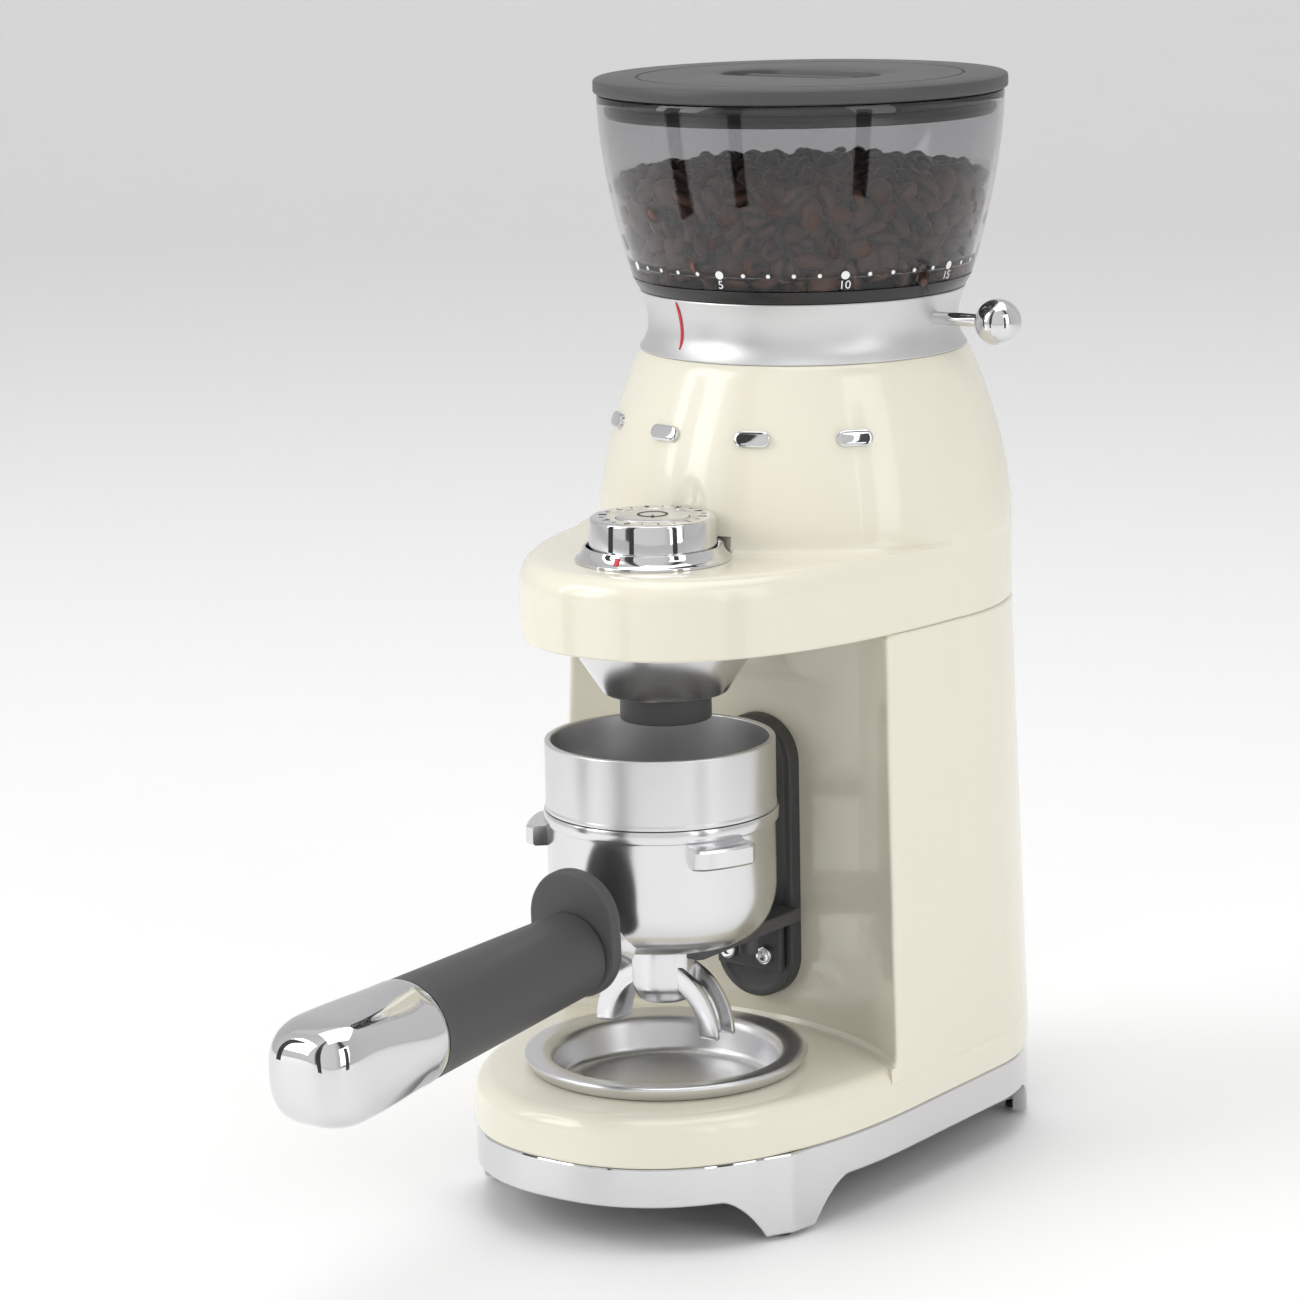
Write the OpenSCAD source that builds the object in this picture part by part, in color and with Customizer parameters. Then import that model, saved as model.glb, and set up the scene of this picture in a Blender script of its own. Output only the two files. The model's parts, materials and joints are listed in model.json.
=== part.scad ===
// Burr coffee grinder with a fork that holds a portafilter under its chute.
// The origin is on the floor, under the axis shared by the hopper and the burrs.
// +Z is up, the front faces -Y, and the hopper's lever points along +X.

/* [Body] */
// Width of the base and of the column
body_w = 151.2; // [140:0.2:160]
// Front of the base, measured forward from the burr axis
base_front = 163.8; // [155:0.2:172]
// Back of the base, measured backward from the burr axis
base_back = 84; // [78:0.5:90]
// Height of the deck that the tray sits in
deck_z = 48; // [46:0.5:50]
// Height of the seam between the lower and the upper housing
seam_z = 203; // [200:0.5:206]
// Front of the overhanging shelf, measured forward from the burr axis
shelf_front = 137.8; // [132:0.2:142]
// Height of the shelf's top
shelf_top = 231.2; // [229:0.1:233]
// Height of the dome's top
dome_top = 295.1; // [294:0.1:297]
// Wall thickness of both housings
wall = 2.5; // [2:0.1:3]

/* [Hopper] */
// Radius of the hopper at its foot
hopper_r0 = 60.2; // [58:0.1:61]
// Radius of the hopper at its rim
hopper_r1 = 73.4; // [71:0.1:74]
// Height of the hopper's foot
hopper_z0 = 321.6; // [321:0.1:323]
// Height of the hopper's rim
hopper_z1 = 387; // [383:0.1:390]
// Wall thickness of the hopper
hopper_wall = 1.8; // [1.5:0.1:2.2]

/* [Portafilter] */
// Distance of the portafilter's axis in front of the burr axis
basket_y = 94; // [92:0.5:96]
// Radius of the dosing ring
ring_r = 40.9; // [40:0.1:42]
// Height of the dosing ring's rim
ring_top = 167.4; // [165:0.1:170]
// Downward tilt of the handle
handle_tilt = 2.93; // [0:0.01:5]

/* [Controls] */
// Distance of the dial's axis in front of the burr axis
dial_y = 95.7; // [94:0.1:97]
// Radius of the dial
dial_r = 22.3; // [20:0.1:23]
// Reach of the lever's ball from the burr axis
ball_x = 82.6; // [80:0.1:84]

/* [Gear train] */
// Teeth on the motor pinion
pinion_teeth = 12; // [12:1:14]
// Teeth on the large idler wheel
wheel_teeth = 36; // [36:1:36]
// Teeth on the small idler pinion
idler_teeth = 14; // [14:1:14]
// Teeth on the output gear
output_teeth = 42; // [42:1:42]

/* [Hidden] */

$fn = 96;
half_w = body_w / 2;
cream = "ivory";
slice = 0.2;
mid_y = -44.8;          // where the base outline is widest
rear_c = 12;            // centre of the base's rear curve
bay_r = 115;            // radius of the concave column face
bay_mid = 30.5;         // depth of that face at its middle
shelf_mid_y = 24;       // where the shelf outline would be widest
shelf_join = 10.7;      // angle where the shelf outline meets the dome
ring_low = 16.4;        // bottom edge of the chrome base ring
ring_high = 30.6;       // top edge of the chrome base ring
chute_y = 90;           // chute axis in front of the burr axis
lever_z = 307.9;
badge_z = 270.5;        // height of the raised bars on the dome
badge_lean = 73.4;      // lean of the dome's wall at that height
index_turn = -106;      // where the grind scale is read
handle_y = 132;         // start of the handle in front of the burr axis
handle_z = 101.5;       // and its height
cap_start = 108;        // where the end cap begins along the handle
fork_mid_z = 111;       // middle of the fork's pad
fork_screw_x = 8;
fork_screw_z = 76;
cord_z = 41;            // height of the cord's gland
screw_ring = 53;        // radius of the four collar screws
collar_z = 316.5;
bore_r = 53;            // bore of the collar
stage1 = (pinion_teeth + wheel_teeth) / 2;             // module 1
module2 = 1.25;
stage2 = module2 * (idler_teeth + output_teeth) / 2;
gear_y = sqrt(stage2 * stage2 - stage1 * stage1);      // motor and idler share this depth
shaft_r = 4;
running = 0.05;         // radial clearance of running fits
board_z = 54;

function sgn_pow(v, p) = sign(v) * pow(abs(v), p);

// Outline with a superelliptic front and an elliptic rear, from its half width
function outline(hw, front, mid, e, rc, rear, n = 20) = concat(
    [for (i = [0:n]) let (t = 180 + 180 * i / n)
        [hw * sgn_pow(cos(t), 2 / e), mid + (front + mid) * sgn_pow(sin(t), 2 / e)]],
    [for (i = [0:n]) let (t = 180 * i / n) [hw * cos(t), rc + (rear - rc) * sin(t)]]);

function base_outline(inset) =
    outline(half_w - inset, base_front - inset, mid_y, 2.34, rear_c, base_back - inset);
// The shelf's front curve ends where it meets the round dome
function shelf_outline(inset, n = 28) = [for (i = [0:n])
    let (t = 180 + shelf_join + (180 - 2 * shelf_join) * i / n)
    [(half_w - 0.3 - inset) * sgn_pow(cos(t), 2 / 2.31),
        shelf_mid_y + (shelf_front + shelf_mid_y - inset) * sgn_pow(sin(t), 2 / 2.31)]];
function seam_outline(inset, n = 32) = concat(shelf_outline(inset),
    [for (i = [0:n]) let (t = -shelf_join + (180 + 2 * shelf_join) * i / n)
        (half_w - 0.2 - inset) * [cos(t), sin(t)]]);

// Dome radius at a height, and hopper radius at a height
function dome_r(z) = half_w - (half_w - 60) * pow(max(z - 232, 0) / (dome_top - 232), 1.75);
function hopper_r(z) =
    let (u = (z - 317) / (hopper_z1 - 317)) hopper_r0 + (hopper_r1 - hopper_r0) * (1 - pow(1 - u, 1.7));
function collar_r(z) =
    z < 304 ? 56.2 + 3.8 * pow((304 - z) / 8.9, 2) : 56.2 + 3 * pow((z - 304) / 12.5, 2);
function steps(a, b, n) = [for (i = [0:n]) a + (b - a) * i / n];

module prism(points, z0, z1) {
    translate([0, 0, z0]) linear_extrude(z1 - z0) polygon(points);
}
module ring(r_out, r_in, z0, z1) {
    translate([0, 0, z0]) rotate_extrude() translate([r_in, 0]) square([r_out - r_in, z1 - z0]);
}
module bay(grow, z0, z1) {
    translate([0, -bay_mid - bay_r, z0]) cylinder(r = bay_r + grow, h = z1 - z0, $fn = 180);
}

// Bracket-shaped side view of one foot, flaring up into the ring
function foot_side(w, reach, h) = concat(
    [for (i = [0:6]) let (u = 1 - i / 6) [-w - reach * u, h * pow(u, 2.4)]],
    [for (i = [0:6]) let (u = i / 6) [w + reach * u, h * pow(u, 2.4)]]);

module base_ring() color("silver") {
    difference() {
        prism(base_outline(0.4), ring_low, ring_high - 0.1);
        prism(base_outline(4), ring_low - 1, ring_high + 1);
    }
    for (side = [-1, 1]) {
        foot(side, 62, -111, 25);
        foot(side, 54, 54, 135);
    }
}
module foot(side, x, y, turn) {
    intersection() {
        difference() {
            prism(base_outline(1.2), 1.5, ring_low + 0.4);
            prism(base_outline(7), 0, ring_low + 1);
        }
        translate([side * x, y, 1.5]) rotate([90, 0, 90 - side * turn])
            linear_extrude(60, center = true)
                polygon(foot_side(10.5, 20, ring_low - 1));
    }
}

module foot_pads() color("dimgray") {
    for (side = [-1, 1], p = [[61, -111], [54, 56]])
        translate([side * p[0], p[1], 0]) cylinder(r = 3, h = 1.5);
}

function post_spots() = [for (p = [[57, -100], [54, 45]], side = [-1, 1]) [side * p[0], p[1]]];

module bottom_plate() color("gray") {
    difference() {
        prism(base_outline(4.4), 20, 22.5);
        for (p = post_spots()) translate([p[0], p[1], 19]) cylinder(r = 1.8, h = 5);
        for (x = [-30:10:30]) translate([x - 2, -20, 19]) cube([4, 40, 5]);
    }
}

module bottom_screws() color("silver") {
    for (p = post_spots()) translate([p[0], p[1], 17.6]) {
        cylinder(r = 3.2, h = 2.3);
        cylinder(r = 1.6, h = 14);
    }
}

module lower_housing() color(cream) {
    difference() {
        union() {
            lower_mass(0, ring_high, deck_z);
            difference() {
                column_mass(0, ring_high, seam_z);
                bay(0, deck_z - 1, seam_z + 1);
            }
        }
        difference() {
            union() {
                lower_mass(wall, ring_high - 1, deck_z - wall);
                difference() {
                    column_mass(wall, ring_high - 1, seam_z + 1);
                    bay(wall, deck_z - wall - 1, seam_z + 2);
                }
            }
            translate([0, -basket_y, ring_high - 2]) cylinder(r = 46.5, h = 40);
            for (p = post_spots()) translate([p[0], p[1], ring_high - 2]) {
                cylinder(r = 5, h = 14);
                translate([sign(p[0]) * 7 - 7, -1.5, 0]) cube([14, 3, 14]);
            }
        }
        translate([0, -basket_y, 37.4]) cylinder(r = 44.5, h = 40);
        translate([0, -basket_y, ring_high - 3]) cylinder(r = 44.5, h = 4.4);
        for (p = post_spots()) translate([p[0], p[1], 22]) cylinder(r = 1.7, h = 12);
        translate([0, base_back - 8, cord_z]) rotate([-90, 0, 0]) cylinder(r = 6, h = 20);
        for (x = [-fork_screw_x, fork_screw_x]) translate([x, -bay_mid - 8, fork_screw_z])
            rotate([-90, 0, 0]) cylinder(r = 2.1, h = 20);
    }
}
module lower_mass(inset, z0, z1) {
    hull() {
        prism(base_outline(inset), z0, z1 - 6.5);
        prism(base_outline(inset + 2), z1 - 2.2, z1 - 2);
        prism(base_outline(inset + 6.5), z1 - slice, z1);
    }
}
module column_mass(inset, z0, z1) {
    hull() {
        prism(base_outline(inset), z0, z0 + 12);
        prism(seam_outline(inset), z1 - slice, z1);
    }
}

function dome_profile(inset, z0, z1) = concat(
    [[0, z0]],
    [for (z = concat([z0], steps(232, z1, 12))) [dome_r(min(z + inset * 0.35, dome_top)) - inset, z]],
    [[0, z1]]);

module upper_housing() color(cream) {
    difference() {
        union() {
            rotate_extrude() polygon(dome_profile(0, seam_z, dome_top));
            shelf_mass(0, seam_z, shelf_top);
        }
        difference() {
            union() {
                rotate_extrude() polygon(dome_profile(wall, seam_z - 1, dome_top - wall));
                shelf_mass(wall, seam_z - 1, shelf_top - wall);
            }
            intersection() {
                translate([-100, -200, seam_z - 2]) cube([200, 250, wall + 2]);
                bay(wall, seam_z - 3, seam_z + wall);
            }
            dial_niche(wall);
        }
        dial_niche(0);
        translate([0, 0, dome_top - wall - 1]) cylinder(r = 50, h = wall + 2);
        translate([0, -chute_y, seam_z - 1]) cylinder(r = 16.7, h = wall + 2);
        translate([0, -dial_y, shelf_top - wall - 1]) cylinder(r = 6.2, h = wall + 2);
        for (a = [45:90:315]) rotate(a) translate([screw_ring, 0, dome_top - wall - 1])
            cylinder(r = 1.7, h = wall + 2);
    }
}
// The dial stands so near the dome that it nests in it
module dial_niche(grow) translate([0, -dial_y, shelf_top + 0.05 - grow]) {
    cylinder(r = 27.8 + grow, h = 5.6 + 2 * grow);
    cylinder(r = dial_r + 1 + grow, h = 16.2 + 2 * grow);
}
module shelf_mass(inset, z0, z1) {
    hull() {
        prism(shelf_outline(inset), z0, z1 - 8);
        prism(shelf_outline(inset + 2.3), z1 - 2.5, z1 - 2.3);
        prism(shelf_outline(inset + 8), z1 - slice, z1);
    }
}

module collar() color("lightgray") {
    difference() {
        rotate_extrude() polygon(concat(
            [[bore_r, dome_top + 0.1]],
            [for (z = steps(dome_top + 0.1, collar_z, 10)) [collar_r(z), z]],
            [[bore_r, collar_z]]));
        translate([40, 0, lever_z]) rotate([0, 90, 0]) cylinder(r = 2.35 + running, h = 30);
        for (a = [45:90:315]) rotate(a) translate([55, 0, dome_top - 1]) cylinder(r = 1.2, h = 6);
    }
}

module collar_index() color("firebrick") {
    rotate(index_turn) translate([56.6, -0.5, 298]) cube([0.8, 1, 15]);
}

module badge_bars() color("silver") {
    for (i = [-1.5:1:1.5]) rotate(i * 30 - 86.5) translate([dome_r(badge_z), 0, badge_z])
        rotate([0, badge_lean, 0]) translate([-3, -6.5, -0.8]) cube([6, 13, 2.4]);
}

module dial_bezel() color("silver") translate([0, -dial_y, 0]) {
    rotate_extrude() polygon([[6.3, shelf_top + 0.1], [27.5, shelf_top + 0.1], [27.5, shelf_top + 0.8],
        [26.1, shelf_top + 2], [25, shelf_top + 3.7], [24.5, shelf_top + 5.2], [23.6, shelf_top + 5.2],
        [23.2, shelf_top + 1.8], [6.3, shelf_top + 1.8]]);
}

module chute_cone() color("silver") translate([0, -chute_y, 0]) {
    rotate_extrude() polygon([[16.4, seam_z - 0.1], [35, seam_z - 0.1], [23, 184.4], [22.2, 183.2],
        [16.4, 183.2]]);
}

module chute_nozzle() color("dimgray") translate([0, -chute_y, 0]) {
    ring(16.2, 13.2, 173.4, 201.4);
}

module chute_duct() color("gray") {
    difference() {
        union() {
            translate([0, -chute_y, 186]) cylinder(r = 12.5, h = 28);
            duct_box(11, 3.4);
        }
        translate([0, -chute_y, 185]) cylinder(r = 11, h = 27.5);
        intersection() {
            duct_box(9.5, 2.2, 4);
            translate([-20, -chute_y, 190]) cube([40, 80, 80]);
        }
        cylinder(r = 38.3, h = 400);
    }
}
// Sloping box from the chute's axis up to the grinding chamber
module duct_box(half_x, half_z, over = 0) {
    translate([0, -chute_y + 6, 204.1]) rotate([46.3, 0, 0])
        translate([-half_x, 0, -half_z]) cube([2 * half_x, 69 + over, 2 * half_z]);
}

function stadium(hw, half_len, n = 16) = concat(
    [for (i = [0:n]) let (t = 180 * i / n) [hw * cos(t), half_len - hw + hw * sin(t)]],
    [for (i = [0:n]) let (t = 180 + 180 * i / n) [hw * cos(t), hw - half_len + hw * sin(t)]]);

module fork_plate() color("dimgray") {
    difference() {
        intersection() {
            translate([0, -20, fork_mid_z]) rotate([90, 0, 0]) linear_extrude(17.5)
                polygon(stadium(17, 53));
            bay(-0.1, 20, 220);
        }
        for (x = [-fork_screw_x, fork_screw_x]) translate([x, -60, fork_screw_z])
            rotate([-90, 0, 0]) cylinder(r = 2.1, h = 60);
    }
}

module fork() color("dimgray") {
    difference() {
        translate([-21, -101, 89.6]) cube([42, 63.4, 5]);
        translate([-13.5, -120, 88]) cube([27, 60, 8]);
        translate([0, -60, 88]) cylinder(r = 13.5, h = 8);
    }
    for (x = [-17.2, 17.2]) translate([x, -66, 83.5]) cylinder(r = 3.6, h = 6.3);
    translate([-14, -41, 70]) cube([28, 3.4, 20]);
}

module fork_screws() color("silver") {
    for (x = [-fork_screw_x, fork_screw_x]) translate([x, 0, fork_screw_z]) rotate([-90, 0, 0]) {
        translate([0, 0, -43.6]) cylinder(r = 3.4, h = 2.5);
        translate([0, 0, -37.4]) cylinder(r = 2, h = 16);
    }
}

module crumb_tray() color("silver") translate([0, -basket_y, 0]) {
    rotate_extrude() polygon([[0, 38.2], [37.6, 38.2], [39.6, 39.6], [41.6, 48.3], [48.2, 48.3],
        [49.2, 49.6], [50.4, 51.4], [51, 52.4], [50.6, 53.2], [48.6, 53.7], [43.4, 53.3],
        [41.5, 52.4], [40.5, 50.6], [38.4, 41.2], [36.6, 39.6], [0, 39.6]]);
}

module mounting_plate() color("gray") {
    difference() {
        translate([0, 0, seam_z + 0.1]) cylinder(r = 72.6, h = 2.9);
        bay(wall + 0.4, seam_z - 1, seam_z + 5);
        translate([0, gear_y, seam_z - 1]) cylinder(r = 8, h = 6);
        for (p = plate_spots()) translate([p[0], p[1], seam_z - 1]) cylinder(r = 2, h = 6);
    }
}
function plate_spots() = [[62, -6], [-62, -6], [44, 46], [-44, 46]];

module plate_screws() color("silver") {
    for (p = plate_spots()) translate([p[0], p[1], seam_z + 3.2]) {
        cylinder(r = 3.4, h = 2.4);
        translate([0, 0, -14]) cylinder(r = 1.8, h = 14.2);
    }
}

module motor_can() color("gray") translate([0, gear_y, 0]) {
    difference() {
        union() {
            ring(32, 30, 98, seam_z - 0.2);
            translate([0, 0, 96]) cylinder(r = 32, h = 2.5);
            translate([0, 0, seam_z - 2.8]) cylinder(r = 32, h = 2.6);
            translate([0, 0, 90]) cylinder(r = 9, h = 8);
        }
        translate([0, 0, 92]) cylinder(r = shaft_r + running, h = 20);
        translate([0, 0, seam_z - 5]) cylinder(r = shaft_r + running, h = 20);
    }
}

module stator_core() color("brown") translate([0, gear_y, 0]) {
    ring(29.9, 19.5, 118, 182);
}

module rotor_core() color("darkgray") translate([0, gear_y, 0]) {
    ring(19, shaft_r + running, 116, 184);
}

module motor_shaft() color("silver") translate([0, gear_y, 0]) {
    translate([0, 0, 93]) cylinder(r = shaft_r, h = 125.2);
}

// Spur gear: a ring of straight-sided teeth with play between them
module gear(teeth, mod, phase, z0, z1) {
    r = teeth * mod / 2;
    pitch = 360 / teeth;
    tooth = [[-0.27, -1.25], [-0.1, 0.85], [0.1, 0.85], [0.27, -1.25]];
    translate([0, 0, z0]) linear_extrude(z1 - z0) polygon([for (i = [0:teeth - 1])
        let (a = phase + i * pitch) each [for (k = tooth)
            let (rk = r + k[1] * mod) [rk * cos(a + k[0] * pitch), rk * sin(a + k[0] * pitch)]]]);
}
mesh_angle = atan2(gear_y, stage1);

module motor_pinion() color("silver") translate([0, gear_y, 0]) {
    difference() {
        gear(pinion_teeth, 1, 180 / pinion_teeth, 210, 217.5);
        translate([0, 0, 200]) cylinder(r = shaft_r + running, h = 30);
    }
}

module idler_gear() color("beige") translate([stage1, gear_y, 0]) {
    difference() {
        union() {
            gear(wheel_teeth, 1, 180, 210, 217.5);
            gear(idler_teeth, module2, mesh_angle + 180 + 180 / idler_teeth, 217.4, 230.5);
        }
        translate([0, 0, 200]) cylinder(r = 3 + running, h = 40);
    }
}

module idler_pin() color("silver") {
    translate([stage1, gear_y, seam_z + 6.1]) cylinder(r = 3, h = 26.6);
}

module output_gear() color("beige") {
    difference() {
        gear(output_teeth, module2, mesh_angle, 220, 230);
        translate([0, 0, 200]) cylinder(r = shaft_r + running, h = 40);
    }
}

module gear_spaces(grow, z0, z1) {
    for (c = [[0, 0, 29.5], [stage1, gear_y, 20.5], [0, gear_y, 10]])
        translate([c[0], c[1], z0]) cylinder(r = c[2] + grow, h = z1 - z0);
}

module gearbox_case() color("dimgray") {
    difference() {
        gear_spaces(2, seam_z + 3.2, 233);
        gear_spaces(0, seam_z + 5.9, 240);
        translate([0, gear_y, 200]) cylinder(r = 5, h = 20);
        translate([0, 0, 200]) cylinder(r = 8 + running, h = 20);
    }
}

module gearbox_cover() color("gray") {
    difference() {
        gear_spaces(2, 233.1, 235.6);
        translate([0, 0, 230]) cylinder(r = 6, h = 20);
        translate([stage1, gear_y, 230]) cylinder(r = 3 + running, h = 20);
    }
}

module drive_shaft() color("silver") {
    translate([0, 0, 206.6]) cylinder(r = shaft_r, h = 85.4);
}

module shaft_bearings() color("silver") {
    ring(8, shaft_r + running, 206.4, 210.4);
    ring(8, shaft_r + running, 241.5, 246);
}

module grind_chamber() color("darkgray") {
    difference() {
        union() {
            ring(38, 35, 243, 292.4);
            translate([0, 0, 243]) cylinder(r = 38, h = 3.2);
            translate([0, 0, 240]) cylinder(r = 12, h = 4);
            ring(56.5, 35, 289.6, 292.4);
        }
        translate([0, 0, 230]) cylinder(r = 8 + running, h = 30);
        translate([-9.5, -45, 247.2]) cube([19, 20, 10.5]);
        for (a = [45:90:315]) rotate(a) translate([screw_ring, 0, 280]) cylinder(r = 1.4, h = 20);
    }
}

module chamber_screws() color("silver") {
    for (a = [45:90:315]) rotate(a) translate([screw_ring, 0, 286.9]) {
        cylinder(r = 2.6, h = 2.5);
        cylinder(r = 1.3, h = 8.1);
    }
}

module sweeper() color("gray") {
    difference() {
        union() {
            translate([0, 0, 248]) cylinder(r = 33, h = 3);
            for (a = [0:60:300]) rotate(a) translate([14, -1.2, 250.5]) cube([18.6, 2.4, 9]);
            translate([0, 0, 247]) cylinder(r = 9, h = 16);
        }
        translate([0, 0, 240]) cylinder(r = shaft_r + running, h = 40);
    }
}

module cone_burr() color("gray") {
    difference() {
        translate([0, 0, 264]) cylinder(r1 = 19.4, r2 = 12.5, h = 22);
        translate([0, 0, 260]) cylinder(r = shaft_r + running, h = 40);
        for (a = [0:20:340]) rotate(a) translate([11.6, -0.9, 270]) rotate([0, -17.4, 8])
            cube([4, 1.8, 20]);
    }
}

module burr_nut() color("silver") {
    difference() {
        translate([0, 0, 286.1]) cylinder(r = 7.5, h = 5.5, $fn = 6);
        translate([0, 0, 280]) cylinder(r = shaft_r + running, h = 20);
    }
}

module ring_burr() color("gray") {
    rotate_extrude() polygon([[20.6, 264], [30.2, 264], [30.2, 286], [24.5, 286], [15, 280]]);
}

module burr_carrier() color("black") {
    ring(33.5, 30.4, 262.5, 301);
    ring(43.6, 24.6, 298, 301);
}

module control_board() color("darkgreen") {
    translate([-42, -18, board_z]) cube([84, 78, 1.6]);
    translate([-30, 0, board_z + 1.4]) cylinder(r = 9, h = 22);
    translate([10, 10, board_z + 1.4]) cube([24, 20, 18]);
    translate([-12, 34, board_z + 1.4]) cube([36, 14, 12]);
    for (x = [-38, 38], y = [-14, 56]) translate([x, y, 22.6]) cylinder(r = 3, h = board_z - 22.5);
}

module dial_encoder() color("dimgray") translate([0, -dial_y, 0]) {
    difference() {
        translate([-7, -7, 222.2]) cube([14, 14, 4.6]);
        translate([0, 0, 220]) cylinder(r = 3.5, h = 10);
    }
}

module start_switch() color("black") translate([0, -dial_y, 0]) {
    translate([-4, -4, 217.6]) cube([8, 8, 4.2]);
}

module dial_knob() color("silver") translate([0, -dial_y, 0]) {
    difference() {
        rotate_extrude() polygon([[3.15, 227.1], [5.8, 227.1], [5.8, 234.4], [22.6, 234.4],
            [dial_r + 0.3, 236], [dial_r, 245.4], [dial_r - 1.2, 246.5], [13, 246.5], [13, 237],
            [3.15, 237]]);
        for (a = [0:15:345]) rotate(a) translate([dial_r + 0.7, 0, 233]) cylinder(r = 0.75, h = 10);
    }
}

module start_button() color("gray") translate([0, -dial_y, 0]) {
    rotate_extrude() polygon([[0, 224.2], [3.1, 224.2], [3.1, 240], [12.7, 240], [12.7, 246.2],
        [12, 246.8], [0, 247]]);
}

module cord_gland() color("dimgray") translate([0, base_back - 0.4, cord_z]) rotate([-90, 0, 0]) {
    difference() {
        union() {
            cylinder(r = 8, h = 2.6);
            translate([0, 0, -7]) cylinder(r = 5.9, h = 7.5);
            translate([0, 0, 2.5]) cylinder(r1 = 6.2, r2 = 5.2, h = 3.4);
        }
        translate([0, 0, -10]) cylinder(r = 3.6, h = 20);
    }
}

module hopper_foot() color("black") {
    difference() {
        rotate_extrude() polygon([[44, 297.2], [bore_r - running, 297.2],
            [bore_r - running, collar_z + 0.3], [hopper_r0, collar_z + 0.3],
            [hopper_r(hopper_z0), hopper_z0 - 0.1], [44, hopper_z0 - 0.1]]);
        ring(60, 46.2, lever_z - 3, lever_z + 3);
    }
}

module hopper_bowl() color("gray", 0.4) {
    rotate_extrude() polygon(concat(
        [for (z = steps(hopper_z0, hopper_z1, 12)) [hopper_r(z), z]],
        [for (z = steps(hopper_z1, hopper_z0 + 5, 12)) [hopper_r(z) - hopper_wall, z]],
        [[52, hopper_z0 + 2], [44, hopper_z0 + 1.4], [26, 308.6], [26, 306.6], [28, 306.6],
            [43.8, 319.4], [43.8, hopper_z0]]));
}

module bean_charge() color("saddlebrown") {
    rotate_extrude() polygon(concat(
        [[0, 309.5], [26.2, 309.5], [43.8, hopper_z0 + 2.1], [52, hopper_z0 + 2.7]],
        [for (z = steps(hopper_z0 + 6, 362, 8)) [hopper_r(z) - hopper_wall - 0.5, z]],
        [[40, 366], [0, 367.5]]));
}

module lid_cap() color("dimgray") {
    difference() {
        union() {
            rotate_extrude() polygon([[0, hopper_z1 + 0.2], [74, hopper_z1 + 0.2], [74.6, hopper_z1 + 1],
                [74.6, hopper_z1 + 4.6], [73.4, hopper_z1 + 5.5], [0, hopper_z1 + 5.6]]);
            ring(70, 66, 379, hopper_z1 + 0.4);
        }
        translate([0, 0, hopper_z1 + 2]) linear_extrude(8) polygon(stadium_x(15, 32));
        ring(72, 69, 380.4, 383.4);
    }
    translate([-23, -2, hopper_z1 + 1.6]) cube([46, 4, 3.4]);
}
function stadium_x(hw, half_len) = [for (p = stadium(hw, half_len)) [p[1], p[0]]];

module lid_seal() color("black") {
    ring(70.6, 69.1, 380.6, 383.2);
}

module lever_rod() color("silver") {
    translate([47, 0, lever_z]) rotate([0, 90, 0]) cylinder(r = 2.35, h = ball_x - 8 - 47);
}

module lever_ball() color("silver") {
    difference() {
        translate([ball_x, 0, lever_z]) sphere(r = 8.3);
        translate([60, 0, lever_z]) rotate([0, 90, 0]) cylinder(r = 2.4, h = ball_x - 60 - 3);
    }
}

module portafilter_bowl() color("silver") translate([0, -basket_y, 0]) {
    difference() {
        union() {
            rotate_extrude() polygon(concat(
                [[0, 95.1]], bowl_curve(27, 0),
                [[40.5, 137.4], [41.6, 138], [41.6, 142], [41.1, 142.5], [35, 142.5], [35, 139],
                    [37, 137]],
                bowl_inner(), [[0, 98.4]]));
            for (a = [-155, -25, 90]) rotate(a - 16) translate([0, 0, 129])
                rotate_extrude(angle = 32) translate([39, 0]) square([9, 7.6]);
            translate([0, basket_y - handle_y, handle_z]) rotate([90 + handle_tilt, 0, 0])
                translate([0, 0, -4]) cylinder(r1 = 11, r2 = 9, h = 14.2);
        }
        translate([0, basket_y - handle_y, handle_z]) rotate([90 + handle_tilt, 0, 0])
            translate([0, 0, -2]) cylinder(r = 4, h = 30);
        cylinder(r = 5, h = 110);
    }
}
function bowl_curve(r0, inset) = [for (i = [0:6]) let (t = 90 * i / 6)
    [r0 + (40.5 - r0) * sin(t) - inset, 95.1 + 20 * (1 - cos(t))]];
function bowl_inner() = [for (i = [6:-1:0]) let (t = 90 * i / 6)
    [25 + (37 - 25) * sin(t), 98.4 + 17 * (1 - cos(t))]];

module filter_basket() color("silver") translate([0, -basket_y, 0]) {
    rotate_extrude() polygon([[0, 117], [31, 117], [33.6, 140], [34.6, 142.6], [38, 142.6], [38, 143.6],
        [33.8, 143.6], [32.8, 140.4], [30.2, 118], [0, 118]]);
}

module dosing_ring() color("silver") translate([0, -basket_y, 0]) {
    rotate_extrude() polygon([[38.5, 142.6], [41, 142.6], [41, 144], [ring_r, 144.4],
        [ring_r, ring_top - 0.6],
        [ring_r - 0.6, ring_top], [38.9, ring_top], [38.4, ring_top - 0.5]]);
}

module twin_spout() color("silver") translate([0, -basket_y, 0]) {
    difference() {
        union() {
            translate([0, 0, 71.6]) cylinder(r = 11.7, h = 23.4);
            translate([0, 6, 61]) rotate([90, 0, 0]) rotate_extrude(angle = 180) translate([18.6, 0])
                square([7.9, 12]);
        }
        translate([0, 0, 79]) cylinder(r = 5, h = 20);
        translate([0, 3.6, 59]) rotate([90, 0, 0]) rotate_extrude(angle = 360) translate([16, 0])
            square([7.4, 7.2]);
    }
}

module on_handle() {
    translate([0, -handle_y, handle_z]) rotate([90 + handle_tilt, 0, 0]) children();
}

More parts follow.
